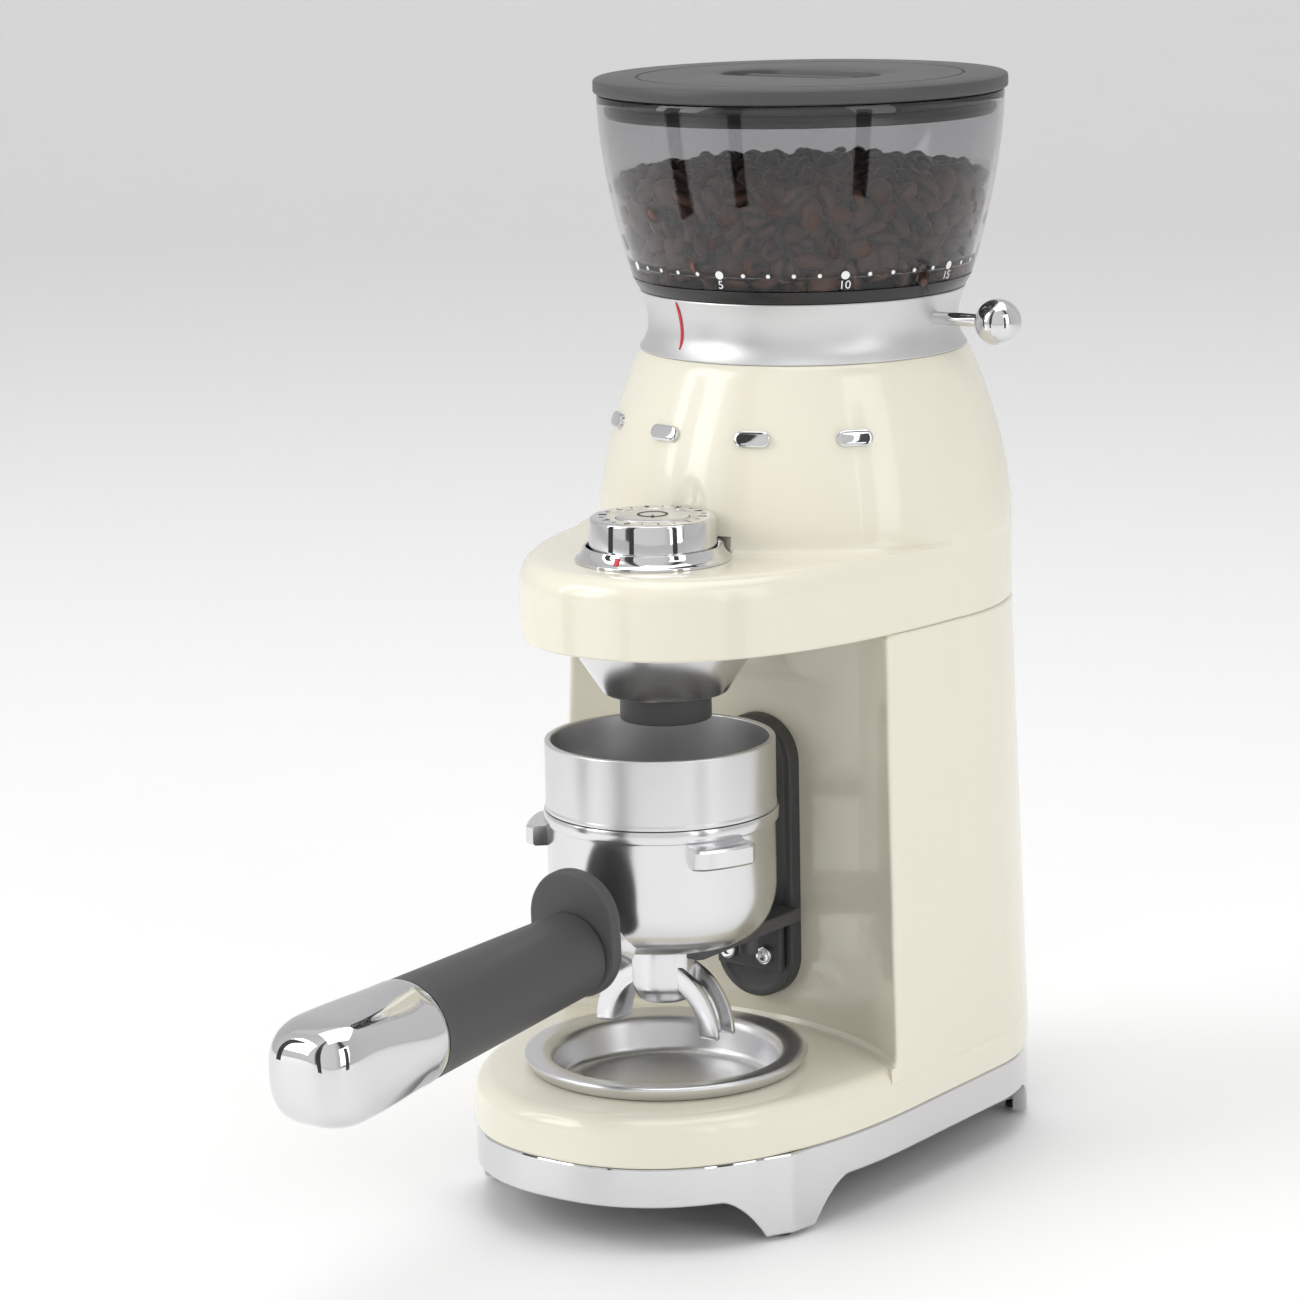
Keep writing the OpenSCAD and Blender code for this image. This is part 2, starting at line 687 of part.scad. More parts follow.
module thumb_guard() color("dimgray") on_handle() {
    difference() {
        translate([0, 7, 10.6]) linear_extrude(6) polygon(stadium(18, 23));
        translate([0, 0, 5]) cylinder(r = 4.1, h = 20);
    }
}

module handle_grip() color("dimgray") on_handle() {
    difference() {
        translate([0, 0, 16.8]) cylinder(r1 = 15.3, r2 = 18.3, h = cap_start - 17);
        translate([0, 0, 10]) cylinder(r = 4.1, h = cap_start);
    }
}

module handle_cap() color("silver") on_handle() {
    difference() {
        rotate_extrude() polygon(concat([[0, cap_start], [18.9, cap_start]],
            [for (i = [0:8]) let (t = 90 * i / 8)
                [10 + 9 * pow(cos(t), 0.6), 148 + 16.6 * pow(sin(t), 0.9)]],
            [[0, 165]]));
        translate([0, 0, cap_start + 3]) cylinder(r = 16.5, h = 36);
    }
}

module handle_bolt() color("silver") on_handle() {
    translate([0, 0, -1]) cylinder(r = 3.9, h = cap_start + 0.8);
}

base_ring();
foot_pads();
bottom_plate();
bottom_screws();
lower_housing();
upper_housing();
collar();
collar_index();
badge_bars();
dial_bezel();
chute_cone();
chute_nozzle();
chute_duct();
fork_plate();
fork();
fork_screws();
crumb_tray();
mounting_plate();
plate_screws();
motor_can();
stator_core();
rotor_core();
motor_shaft();
motor_pinion();
gearbox_case();
gearbox_cover();
idler_pin();
idler_gear();
output_gear();
drive_shaft();
shaft_bearings();
grind_chamber();
chamber_screws();
sweeper();
cone_burr();
burr_nut();
ring_burr();
burr_carrier();
control_board();
dial_encoder();
start_switch();
dial_knob();
start_button();
cord_gland();
hopper_foot();
hopper_bowl();
bean_charge();
lid_cap();
lid_seal();
lever_rod();
lever_ball();
portafilter_bowl();
filter_basket();
dosing_ring();
twin_spout();
thumb_guard();
handle_grip();
handle_cap();
handle_bolt();
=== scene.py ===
import json
import math
import random

import bmesh
import bpy
from mathutils import Matrix, Vector


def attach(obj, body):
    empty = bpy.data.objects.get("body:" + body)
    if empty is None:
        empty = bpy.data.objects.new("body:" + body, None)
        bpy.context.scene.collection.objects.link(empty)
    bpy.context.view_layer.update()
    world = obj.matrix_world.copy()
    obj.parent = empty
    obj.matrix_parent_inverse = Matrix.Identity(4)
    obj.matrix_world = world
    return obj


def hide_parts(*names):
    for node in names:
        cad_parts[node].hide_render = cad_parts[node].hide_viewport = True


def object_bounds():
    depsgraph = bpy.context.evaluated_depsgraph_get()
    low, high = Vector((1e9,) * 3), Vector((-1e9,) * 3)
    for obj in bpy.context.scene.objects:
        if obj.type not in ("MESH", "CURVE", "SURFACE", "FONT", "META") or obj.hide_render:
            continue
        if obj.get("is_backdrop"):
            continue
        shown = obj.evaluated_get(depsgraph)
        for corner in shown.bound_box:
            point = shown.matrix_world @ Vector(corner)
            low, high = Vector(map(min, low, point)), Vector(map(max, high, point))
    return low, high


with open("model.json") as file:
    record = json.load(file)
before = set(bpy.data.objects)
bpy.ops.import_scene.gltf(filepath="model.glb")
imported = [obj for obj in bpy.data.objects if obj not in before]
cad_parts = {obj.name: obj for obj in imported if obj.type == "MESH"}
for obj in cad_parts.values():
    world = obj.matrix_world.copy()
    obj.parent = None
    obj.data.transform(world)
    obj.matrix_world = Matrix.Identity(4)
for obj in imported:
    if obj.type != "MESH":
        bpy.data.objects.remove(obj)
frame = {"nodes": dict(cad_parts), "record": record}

bl_info = {
    "name": "Burr coffee grinder",
    "version": (1, 0, 0),
    "blender": (4, 5, 0),
    "location": "3D View > Sidebar > Grinder",
    "description": "Builds the finished surfaces of a burr coffee grinder around its CAD frame",
    "category": "Object",
}

MM = 0.001

# Body outlines, in millimetres
HALF_WIDTH = 75.6
BASE_MID_Y = -44.8
BASE_FRONT = 119.0
BASE_REAR_Y = 12.0
BASE_REAR = 72.0
SHELF_HALF = 75.3
SHELF_MID_Y = 24.0
SHELF_FRONT = 161.8
SHELF_JOIN_Y = -13.6
BAY_RADIUS = 115.0
BAY_CENTRE_Y = -145.5

# Heights
RING_LOW = 16.4
RING_HIGH = 30.5
DECK_Z = 48.0
SEAM_Z = 203.0
SHELF_TOP = 231.2
DOME_TOP = 295.1
COLLAR_TOP = 316.5
NICHE_FADE = 268.0
HOPPER_LOW = 321.6
HOPPER_HIGH = 387.0

# Upright axes in front of the hopper's axis
BASKET_Y = -94.0
CHUTE_Y = -90.0
DIAL_Y = -95.7
LEVER_Z = 307.9
FORK_Z = 89.6
FORK_THICK = 5.0
FORK_HALF = 21.0
NICHE_STEP = 5.6
BADGE_Z = 270.5
CAP_START = 108.0
CAP_CORNER = 148.0
HANDLE_FRAME = Matrix.Translation((0, -132, 101.5)) @ Matrix.Rotation(math.radians(92.93), 4, "X")


# ---------------------------------------------------------------- settings

class GrinderSettings(bpy.types.PropertyGroup):
    """Sizes and colours that a user may change before building."""

    body_colour: bpy.props.FloatVectorProperty(
        name="Body colour", description="Enamel of both housings",
        default=(0.80, 0.765, 0.635), min=0.0, max=1.0, subtype="COLOR")
    trim_colour: bpy.props.FloatVectorProperty(
        name="Trim colour", description="Lid, handle and fork",
        default=(0.062, 0.062, 0.065), min=0.0, max=1.0, subtype="COLOR")
    bean_colour: bpy.props.FloatVectorProperty(
        name="Bean colour", description="Roast of the beans",
        default=(0.13, 0.060, 0.038), min=0.0, max=1.0, subtype="COLOR")
    bean_length: bpy.props.FloatProperty(
        name="Bean length", description="Length of one bean",
        default=0.0122, min=0.008, max=0.013, subtype="DISTANCE", unit="LENGTH")
    deck_edge: bpy.props.FloatProperty(
        name="Deck edge", description="Radius of the deck's rounded edge",
        default=0.0065, min=0.002, max=0.008, subtype="DISTANCE", unit="LENGTH")
    shelf_edge: bpy.props.FloatProperty(
        name="Shelf edge", description="Radius of the shelf's rounded edge",
        default=0.008, min=0.002, max=0.009, subtype="DISTANCE", unit="LENGTH")
    key_power: bpy.props.FloatProperty(
        name="Key light", description="Power of the large soft light",
        default=20.0, min=1.0, max=200.0, subtype="POWER", unit="POWER")


def settings():
    """The settings stored with the scene."""
    return bpy.context.scene.grinder


# ---------------------------------------------------------------- shape helpers

def signed_power(value, power):
    """A power that keeps the sign of its base."""
    return math.copysign(abs(value) ** power, value)


def base_point(u, inset):
    """A point of the base outline; u runs from 0 to 4 along front, right, rear and left."""
    part = int(u) % 4
    f = u - int(u)
    if part == 0:
        t = math.pi * (1 + f)
        return (
            (HALF_WIDTH - inset) * signed_power(math.cos(t), 2 / 2.34),
            BASE_MID_Y + (BASE_FRONT - inset) * signed_power(math.sin(t), 2 / 2.34),
        )
    if part == 1:
        return HALF_WIDTH - inset, BASE_MID_Y + (BASE_REAR_Y - BASE_MID_Y) * f
    if part == 2:
        t = math.pi * f
        return (HALF_WIDTH - inset) * math.cos(t), BASE_REAR_Y + (BASE_REAR - inset) * math.sin(t)
    return inset - HALF_WIDTH, BASE_REAR_Y - (BASE_REAR_Y - BASE_MID_Y) * f


def base_stations(count):
    """Outline parameters at equal distances along the base outline."""
    fine = [4 * i / 8000 for i in range(8001)]
    length = [0.0]
    for a, b in zip(fine, fine[1:]):
        pa = base_point(min(a, 3.9999), 0)
        pb = base_point(min(b, 3.9999), 0)
        length.append(length[-1] + math.dist(pa, pb))
    stations = []
    k = 0
    for i in range(count):
        goal = length[-1] * i / count
        while length[k + 1] < goal:
            k += 1
        stations.append((fine[k], goal))
    return stations, length[-1]


def inside_base(x, y):
    """Whether a point lies inside the base outline."""
    if y > BASE_REAR_Y:
        return (x / HALF_WIDTH) ** 2 + ((y - BASE_REAR_Y) / BASE_REAR) ** 2 < 1
    if y > BASE_MID_Y:
        return abs(x) < HALF_WIDTH
    return (abs(x) / HALF_WIDTH) ** 2.34 + (abs(y - BASE_MID_Y) / BASE_FRONT) ** 2.34 < 1


def inside_seam(x, y):
    """Whether a point lies inside the outline of the seam and the shelf."""
    if y > SHELF_JOIN_Y:
        return math.hypot(x, y) < 75.4
    return (abs(x) / SHELF_HALF) ** 2.31 + (abs(y - SHELF_MID_Y) / SHELF_FRONT) ** 2.31 < 1


def reach(test, angle):
    """Distance from the hopper's axis to an outline, in one direction."""
    low = 20.0
    high = 220.0
    for _ in range(34):
        mid = (low + high) / 2
        if test(mid * math.cos(angle), mid * math.sin(angle)):
            low = mid
        else:
            high = mid
    return low


def dome_radius(z):
    """Radius of the dome at a height."""
    return HALF_WIDTH - 15.6 * (max(z - 232, 0) / (DOME_TOP - 232)) ** 1.75


def collar_radius(z):
    """Radius of the waisted collar at a height."""
    if z < 304:
        return 56.2 + 3.8 * ((304 - z) / 8.9) ** 2
    return 56.2 + 3 * ((z - 304) / 12.5) ** 2


def hopper_radius(z):
    """Outer radius of the hopper at a height."""
    u = (z - 317) / (HOPPER_HIGH - 317)
    return 60.2 + 13.2 * (1 - (1 - min(u, 1)) ** 1.7)


def steps(a, b, count):
    """count + 1 evenly spaced values from a to b."""
    return [a + (b - a) * i / count for i in range(count + 1)]


def ease(x):
    """Smooth step from 0 to 1."""
    x = min(max(x, 0.0), 1.0)
    return x * x * (3 - 2 * x)


def rounded(points, radius, count=3):
    """A closed profile with its corners rounded; a point's third value is its own radius."""
    result = []
    n = len(points)
    for i, p in enumerate(points):
        r = p[2] if len(p) > 2 else radius
        here = Vector(p[:2])
        before = Vector(points[i - 1][:2]) - here
        after = Vector(points[(i + 1) % n][:2]) - here
        r = min(r, before.length * 0.45, after.length * 0.45)
        if r < 0.02 or here.x < 1e-6:
            result.append((here.x, here.y))
            continue
        a = here + before.normalized() * r
        b = here + after.normalized() * r
        for k in range(count + 1):
            f = k / count
            q = a * (1 - f) ** 2 + here * 2 * f * (1 - f) + b * f ** 2
            result.append((q.x, q.y))
    return result


def lathe(bm, profile, x=0.0, y=0.0, turns=128, frame_matrix=None):
    """Spins a profile of (radius, height) about an upright axis, or about a frame's own Z."""
    made = [bm.verts.new((x + r, y, z)) for r, z in profile]
    pairs = list(zip(made, made[1:]))
    if profile[0][0] > 1e-6 or profile[-1][0] > 1e-6:
        pairs.append((made[-1], made[0]))
    edges = [bm.edges.new(pair) for pair in pairs]
    before = set(bm.verts) - set(made)
    bmesh.ops.spin(
        bm, geom=made + edges, cent=(x, y, 0), axis=(0, 0, 1), angle=math.tau,
        steps=turns, use_merge=True)
    new = [v for v in bm.verts if v not in before]
    bmesh.ops.remove_doubles(bm, verts=new, dist=0.002)
    new = [v for v in bm.verts if v not in before]
    if frame_matrix is not None:
        bmesh.ops.transform(bm, matrix=frame_matrix, verts=new)
    return new


def add_ring(bm, points):
    """One closed ring of edges."""
    verts = [bm.verts.new(p) for p in points]
    return verts, [bm.edges.new((a, b)) for a, b in zip(verts, verts[1:] + verts[:1])]


def loft(bm, rings, cap_first=True, cap_last=True):
    """Bridges neighbouring rings, all with the same number of points."""
    made = [add_ring(bm, ring) for ring in rings]
    for (_, low), (_, high) in zip(made, made[1:]):
        bmesh.ops.bridge_loops(bm, edges=low + high)
    if cap_first:
        bmesh.ops.contextual_create(bm, geom=made[0][1])
    if cap_last:
        bmesh.ops.contextual_create(bm, geom=made[-1][1])
    return [verts for verts, _ in made]


def block(bm, size, place, edge=0.0, segments=3):
    """A box with rounded edges."""
    made = bmesh.ops.create_cube(bm, size=1.0)["verts"]
    bmesh.ops.scale(bm, vec=size, verts=made)
    if edge:
        edges = list({e for v in made for e in v.link_edges})
        made = bmesh.ops.bevel(
            bm, geom=edges, offset=edge, segments=segments, affect="EDGES",
            profile=0.5, material=-1)["verts"]
    linked = set(made)
    for v in made:
        linked.update(w for f in v.link_faces for w in f.verts)
    bmesh.ops.transform(bm, matrix=place, verts=list(linked))


def stadium(half_width, half_length, count=20):
    """A closed outline with round ends, long in its second direction."""
    points = []
    for end, start in ((1, 0), (-1, math.pi)):
        for i in range(count + 1):
            t = start + math.pi * i / count
            points.append((
                half_width * math.cos(t),
                end * (half_length - half_width) + half_width * math.sin(t)))
    return points


def superellipse(radius, exponent, count=96):
    """A closed outline between a circle and a square."""
    points = []
    for i in range(count):
        t = math.tau * i / count
        points.append((
            radius * signed_power(math.cos(t), 2 / exponent),
            radius * signed_power(math.sin(t), 2 / exponent)))
    return points


def add_numeral(bm, text, size, depth, place):
    """A raised numeral, set flat and then put in its place."""
    curve = bpy.data.curves.new("numeral", "FONT")
    curve.body = text
    curve.size = size
    curve.extrude = depth / 2
    curve.align_x = "CENTER"
    curve.align_y = "CENTER"
    obj = bpy.data.objects.new("numeral", curve)
    bpy.context.scene.collection.objects.link(obj)
    bpy.context.view_layer.update()
    mesh = bpy.data.meshes.new_from_object(obj.evaluated_get(bpy.context.evaluated_depsgraph_get()))
    mesh.transform(place)
    bm.from_mesh(mesh)
    bpy.data.objects.remove(obj)
    bpy.data.curves.remove(curve)
    bpy.data.meshes.remove(mesh)


def add_piece(name, bm, body, nodes, material, sharp=30.0):
    """Turns a finished mesh, in millimetres, into a piece that rides on a body."""
    bmesh.ops.scale(bm, vec=(MM, MM, MM), verts=bm.verts)
    bmesh.ops.recalc_face_normals(bm, faces=bm.faces)
    mesh = bpy.data.meshes.new(name)
    bm.to_mesh(mesh)
    bm.free()
    mesh.shade_smooth()
    mesh.set_sharp_from_angle(angle=math.radians(sharp))
    mesh.materials.append(material)
    obj = bpy.data.objects.new(name, mesh)
    bpy.context.scene.collection.objects.link(obj)
    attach(obj, body)
    if nodes:
        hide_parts(*nodes)
    return obj


# ---------------------------------------------------------------- material helpers

def maths(nodes, operation, *values):
    """A maths node with its plain inputs set; None leaves an input for a link."""
    node = nodes.new("ShaderNodeMath")
    node.operation = operation
    for i, value in enumerate(values):
        if value is not None:
            node.inputs[i].default_value = value
    return node


def group_socket(group, name, kind, direction, default=None):
    """Adds one socket to a node group."""
    socket = group.interface.new_socket(name=name, in_out=direction, socket_type=kind)
    if default is not None:
        socket.default_value = default
    return socket


def variation_group():
    """Shared group: slow uneven tone and roughness, with a fine bump height."""
    found = bpy.data.node_groups.get("surface_variation")
    if found:
        return found
    group = bpy.data.node_groups.new("surface_variation", "ShaderNodeTree")
    group_socket(group, "Colour", "NodeSocketColor", "INPUT", (0.5, 0.5, 0.5, 1))
    group_socket(group, "Roughness", "NodeSocketFloat", "INPUT", 0.4)
    group_socket(group, "Tone", "NodeSocketFloat", "INPUT", 0.04)
    group_socket(group, "Unevenness", "NodeSocketFloat", "INPUT", 0.05)
    group_socket(group, "Grain scale", "NodeSocketFloat", "INPUT", 900.0)
    group_socket(group, "Colour", "NodeSocketColor", "OUTPUT")
    group_socket(group, "Roughness", "NodeSocketFloat", "OUTPUT")
    group_socket(group, "Height", "NodeSocketFloat", "OUTPUT")
    nodes = group.nodes
    links = group.links
    enter = nodes.new("NodeGroupInput")
    leave = nodes.new("NodeGroupOutput")
    place = nodes.new("ShaderNodeTexCoord")
    slow = nodes.new("ShaderNodeTexNoise")
    slow.inputs["Scale"].default_value = 22.0
    slow.inputs["Detail"].default_value = 4.0
    fine = nodes.new("ShaderNodeTexNoise")
    fine.inputs["Detail"].default_value = 3.0
    links.new(place.outputs["Object"], slow.inputs["Vector"])
    links.new(place.outputs["Object"], fine.inputs["Vector"])
    links.new(enter.outputs["Grain scale"], fine.inputs["Scale"])
    centred = maths(nodes, "SUBTRACT", None, 0.5)
    links.new(slow.outputs["Fac"], centred.inputs[0])
    tone = maths(nodes, "MULTIPLY_ADD", None, None, 1.0)
    links.new(centred.outputs[0], tone.inputs[0])
    links.new(enter.outputs["Tone"], tone.inputs[1])
    shade = nodes.new("ShaderNodeHueSaturation")
    links.new(enter.outputs["Colour"], shade.inputs["Color"])
    links.new(tone.outputs[0], shade.inputs["Value"])
    rough = maths(nodes, "MULTIPLY_ADD")
    rough.use_clamp = True
    links.new(centred.outputs[0], rough.inputs[0])
    links.new(enter.outputs["Unevenness"], rough.inputs[1])
    links.new(enter.outputs["Roughness"], rough.inputs[2])
    links.new(shade.outputs["Color"], leave.inputs["Colour"])
    links.new(rough.outputs[0], leave.inputs["Roughness"])
    links.new(fine.outputs["Fac"], leave.inputs["Height"])
    return group


def edge_wear_group():
    """Shared group: a mask of rubbed edges, broken up by noise."""
    found = bpy.data.node_groups.get("edge_wear")
    if found:
        return found
    group = bpy.data.node_groups.new("edge_wear", "ShaderNodeTree")
    group_socket(group, "Amount", "NodeSocketFloat", "INPUT", 0.4)
    group_socket(group, "Mask", "NodeSocketFloat", "OUTPUT")
    nodes = group.nodes
    links = group.links
    enter = nodes.new("NodeGroupInput")
    leave = nodes.new("NodeGroupOutput")
    shape = nodes.new("ShaderNodeNewGeometry")
    place = nodes.new("ShaderNodeTexCoord")
    noise = nodes.new("ShaderNodeTexNoise")
    noise.inputs["Scale"].default_value = 260.0
    links.new(place.outputs["Object"], noise.inputs["Vector"])
    edge = nodes.new("ShaderNodeMapRange")
    edge.inputs["From Min"].default_value = 0.53
    edge.inputs["From Max"].default_value = 0.62
    links.new(shape.outputs["Pointiness"], edge.inputs["Value"])
    broken = maths(nodes, "MULTIPLY")
    links.new(edge.outputs["Result"], broken.inputs[0])
    links.new(noise.outputs["Fac"], broken.inputs[1])
    scaled = maths(nodes, "MULTIPLY")
    scaled.use_clamp = True
    links.new(broken.outputs[0], scaled.inputs[0])
    links.new(enter.outputs["Amount"], scaled.inputs[1])
    links.new(scaled.outputs[0], leave.inputs["Mask"])
    return group


def brushed_group():
    """Shared group: fine turned or drawn lines about an upright axis."""
    found = bpy.data.node_groups.get("brushed_lines")
    if found:
        return found
    group = bpy.data.node_groups.new("brushed_lines", "ShaderNodeTree")
    group_socket(group, "Centre", "NodeSocketVector", "INPUT", (0, 0, 0))
    group_socket(group, "Scale", "NodeSocketFloat", "INPUT", 1500.0)
    group_socket(group, "Height", "NodeSocketFloat", "OUTPUT")
    nodes = group.nodes
    links = group.links
    enter = nodes.new("NodeGroupInput")
    leave = nodes.new("NodeGroupOutput")
    place = nodes.new("ShaderNodeTexCoord")
    centred = nodes.new("ShaderNodeVectorMath")
    centred.operation = "SUBTRACT"
    links.new(place.outputs["Object"], centred.inputs[0])
    links.new(enter.outputs["Centre"], centred.inputs[1])
    parts = nodes.new("ShaderNodeSeparateXYZ")
    links.new(centred.outputs[0], parts.inputs[0])
    flat = nodes.new("ShaderNodeCombineXYZ")
    links.new(parts.outputs["X"], flat.inputs["X"])
    links.new(parts.outputs["Y"], flat.inputs["Y"])
    radius = nodes.new("ShaderNodeVectorMath")
    radius.operation = "LENGTH"
    links.new(flat.outputs[0], radius.inputs[0])
    lines = nodes.new("ShaderNodeCombineXYZ")
    links.new(radius.outputs["Value"], lines.inputs["X"])
    links.new(parts.outputs["Z"], lines.inputs["Z"])
    noise = nodes.new("ShaderNodeTexNoise")
    noise.inputs["Detail"].default_value = 2.0
    links.new(lines.outputs[0], noise.inputs["Vector"])
    links.new(enter.outputs["Scale"], noise.inputs["Scale"])
    links.new(noise.outputs["Fac"], leave.inputs["Height"])
    return group


def base_material(name, colour, roughness, metallic=0.0, tone=0.05, uneven=0.06,
                  grain=900.0, bump=0.02, wear=0.0, wear_colour=None, coat=0.0):
    """A surface with uneven tone, a fine bump and rubbed edges."""
    found = bpy.data.materials.get(name)
    if found:
        return found
    material = bpy.data.materials.new(name)
    material.use_nodes = True
    nodes = material.node_tree.nodes
    links = material.node_tree.links
    shader = nodes["Principled BSDF"]
    shader.inputs["Metallic"].default_value = metallic
    shader.inputs["Coat Weight"].default_value = coat
    shader.inputs["Coat Roughness"].default_value = 0.04
    vary = nodes.new("ShaderNodeGroup")
    vary.node_tree = variation_group()
    vary.inputs["Colour"].default_value = (*colour, 1)
    vary.inputs["Roughness"].default_value = roughness
    vary.inputs["Tone"].default_value = tone
    vary.inputs["Unevenness"].default_value = uneven
    vary.inputs["Grain scale"].default_value = grain
    relief = nodes.new("ShaderNodeBump")
    relief.inputs["Strength"].default_value = bump
    relief.inputs["Distance"].default_value = 0.0004
    links.new(vary.outputs["Height"], relief.inputs["Height"])
    links.new(relief.outputs["Normal"], shader.inputs["Normal"])
    links.new(vary.outputs["Roughness"], shader.inputs["Roughness"])
    source = vary.outputs["Colour"]
    if wear:
        worn = nodes.new("ShaderNodeGroup")
        worn.node_tree = edge_wear_group()
        worn.inputs["Amount"].default_value = wear
        mix = nodes.new("ShaderNodeMix")
        mix.data_type = "RGBA"
        links.new(worn.outputs["Mask"], mix.inputs["Factor"])
        links.new(source, mix.inputs[6])
        mix.inputs[7].default_value = (*(wear_colour or colour), 1)
        source = mix.outputs[2]
    links.new(source, shader.inputs["Base Color"])
    return material


def add_brushing(material, centre, strength, scale=1500.0):
    """Lays turned lines over a metal's bump."""
    nodes = material.node_tree.nodes
    links = material.node_tree.links
    shader = nodes["Principled BSDF"]
    under = shader.inputs["Normal"].links[0].from_socket
    lines = nodes.new("ShaderNodeGroup")
    lines.node_tree = brushed_group()
    lines.inputs["Centre"].default_value = centre
    lines.inputs["Scale"].default_value = scale
    relief = nodes.new("ShaderNodeBump")
    relief.inputs["Strength"].default_value = strength
    relief.inputs["Distance"].default_value = 0.0003
    links.new(lines.outputs["Height"], relief.inputs["Height"])
    links.new(under, relief.inputs["Normal"])
    links.new(relief.outputs["Normal"], shader.inputs["Normal"])
    return material


def cream_enamel():
    """Glossy enamel of the housings."""
    colour = tuple(settings().body_colour)
    return base_material("cream_enamel", colour, 0.22, tone=0.02, uneven=0.04, grain=350.0,
                         bump=0.015, coat=0.5, wear=0.15, wear_colour=(0.9, 0.88, 0.8))


def chrome():
    """Bright plated metal."""
    return base_material("bright_chrome", (0.70, 0.70, 0.71), 0.05, metallic=1.0, tone=0.03,
                         uneven=0.05, grain=1200.0, bump=0.006)


def soft_chrome():
    """Plated metal with a soft polish."""
    return base_material("soft_chrome", (0.74, 0.74, 0.75), 0.20, metallic=1.0, tone=0.04,
                         uneven=0.06, grain=1300.0, bump=0.008)


def satin_steel(centre=(0, 0, 0), name="satin_steel"):
    """Turned stainless steel."""
    if bpy.data.materials.get(name):
        return bpy.data.materials[name]
    material = base_material(name, (0.72, 0.72, 0.73), 0.32, metallic=1.0, tone=0.05,
                             uneven=0.10, grain=1400.0, bump=0.01)
    return add_brushing(material, centre, 0.05)


def dark_plastic():
    """Matte dark grey moulding."""
    colour = tuple(settings().trim_colour)
    return base_material("dark_moulding", colour, 0.48, tone=0.10, uneven=0.12, grain=2600.0,
                         bump=0.10, wear=0.30, wear_colour=(0.16, 0.16, 0.165))


def black_plastic():
    """Black gloss moulding."""
    return base_material("black_moulding", (0.012, 0.012, 0.013), 0.22, tone=0.10, uneven=0.12,
                         grain=1500.0, bump=0.03, wear=0.2, wear_colour=(0.06, 0.06, 0.06))


def rubber():
    """Soft black rubber."""
    return base_material("rubber", (0.02, 0.02, 0.021), 0.75, tone=0.2, uneven=0.15,
                         grain=2000.0, bump=0.25)


def red_paint():
    """Red marking paint."""
    return base_material("red_paint", (0.55, 0.015, 0.03), 0.35, tone=0.08, uneven=0.1,
                         grain=1500.0, bump=0.03)


def white_print():
    """White printing ink."""
    return base_material("white_print", (0.86, 0.86, 0.85), 0.45, tone=0.06, uneven=0.1,
                         grain=3000.0, bump=0.04)


def dark_print():
    """Dark printing ink."""
    return base_material("dark_print", (0.02, 0.02, 0.022), 0.5, tone=0.1, uneven=0.1,
                         grain=3000.0, bump=0.04)


def smoke_clear():
    """Clear plastic with a light grey tint and faint haze."""
    found = bpy.data.materials.get("smoke_clear")
    if found:
        return found
    material = bpy.data.materials.new("smoke_clear")
    material.use_nodes = True
    nodes = material.node_tree.nodes
    links = material.node_tree.links
    shader = nodes["Principled BSDF"]
    shader.inputs["Transmission Weight"].default_value = 1.0
    shader.inputs["IOR"].default_value = 1.47
    vary = nodes.new("ShaderNodeGroup")
    vary.node_tree = variation_group()
    vary.inputs["Colour"].default_value = (0.62, 0.62, 0.63, 1)
    vary.inputs["Roughness"].default_value = 0.004
    vary.inputs["Tone"].default_value = 0.03
    vary.inputs["Unevenness"].default_value = 0.008
    links.new(vary.outputs["Colour"], shader.inputs["Base Color"])
    links.new(vary.outputs["Roughness"], shader.inputs["Roughness"])
    return material


def bean_surface():
    """Oily roasted bean, toned bean by bean, with painted shade darkening its crease and the heap's core.
    """
    found = bpy.data.materials.get("roasted_bean")
    if found:
        return found
    colour = tuple(settings().bean_colour)
    material = base_material("roasted_bean", colour, 0.34, tone=0.5, uneven=0.2, grain=700.0,
                             bump=0.25)
    nodes = material.node_tree.nodes
    links = material.node_tree.links
    shader = nodes["Principled BSDF"]
    source = shader.inputs["Base Color"].links[0].from_socket
    tone = nodes.new("ShaderNodeAttribute")
    tone.attribute_name = "tone"
    shade = nodes.new("ShaderNodeHueSaturation")
    links.new(source, shade.inputs["Color"])
    links.new(tone.outputs["Fac"], shade.inputs["Value"])
    # Mask of the points that carry painted shade.
    painted_shade = nodes.new("ShaderNodeAttribute")
    painted_shade.attribute_name = "painted_shade"
    mix = nodes.new("ShaderNodeMix")
    mix.data_type = "RGBA"
    links.new(painted_shade.outputs["Fac"], mix.inputs["Factor"])
    links.new(shade.outputs["Color"], mix.inputs[6])
    # Near-black painted shade for the bean's crease and for the heap's core.
    mix.inputs[7].default_value = (0.010, 0.005, 0.003, 1)
    links.new(mix.outputs[2], shader.inputs["Base Color"])
    return material


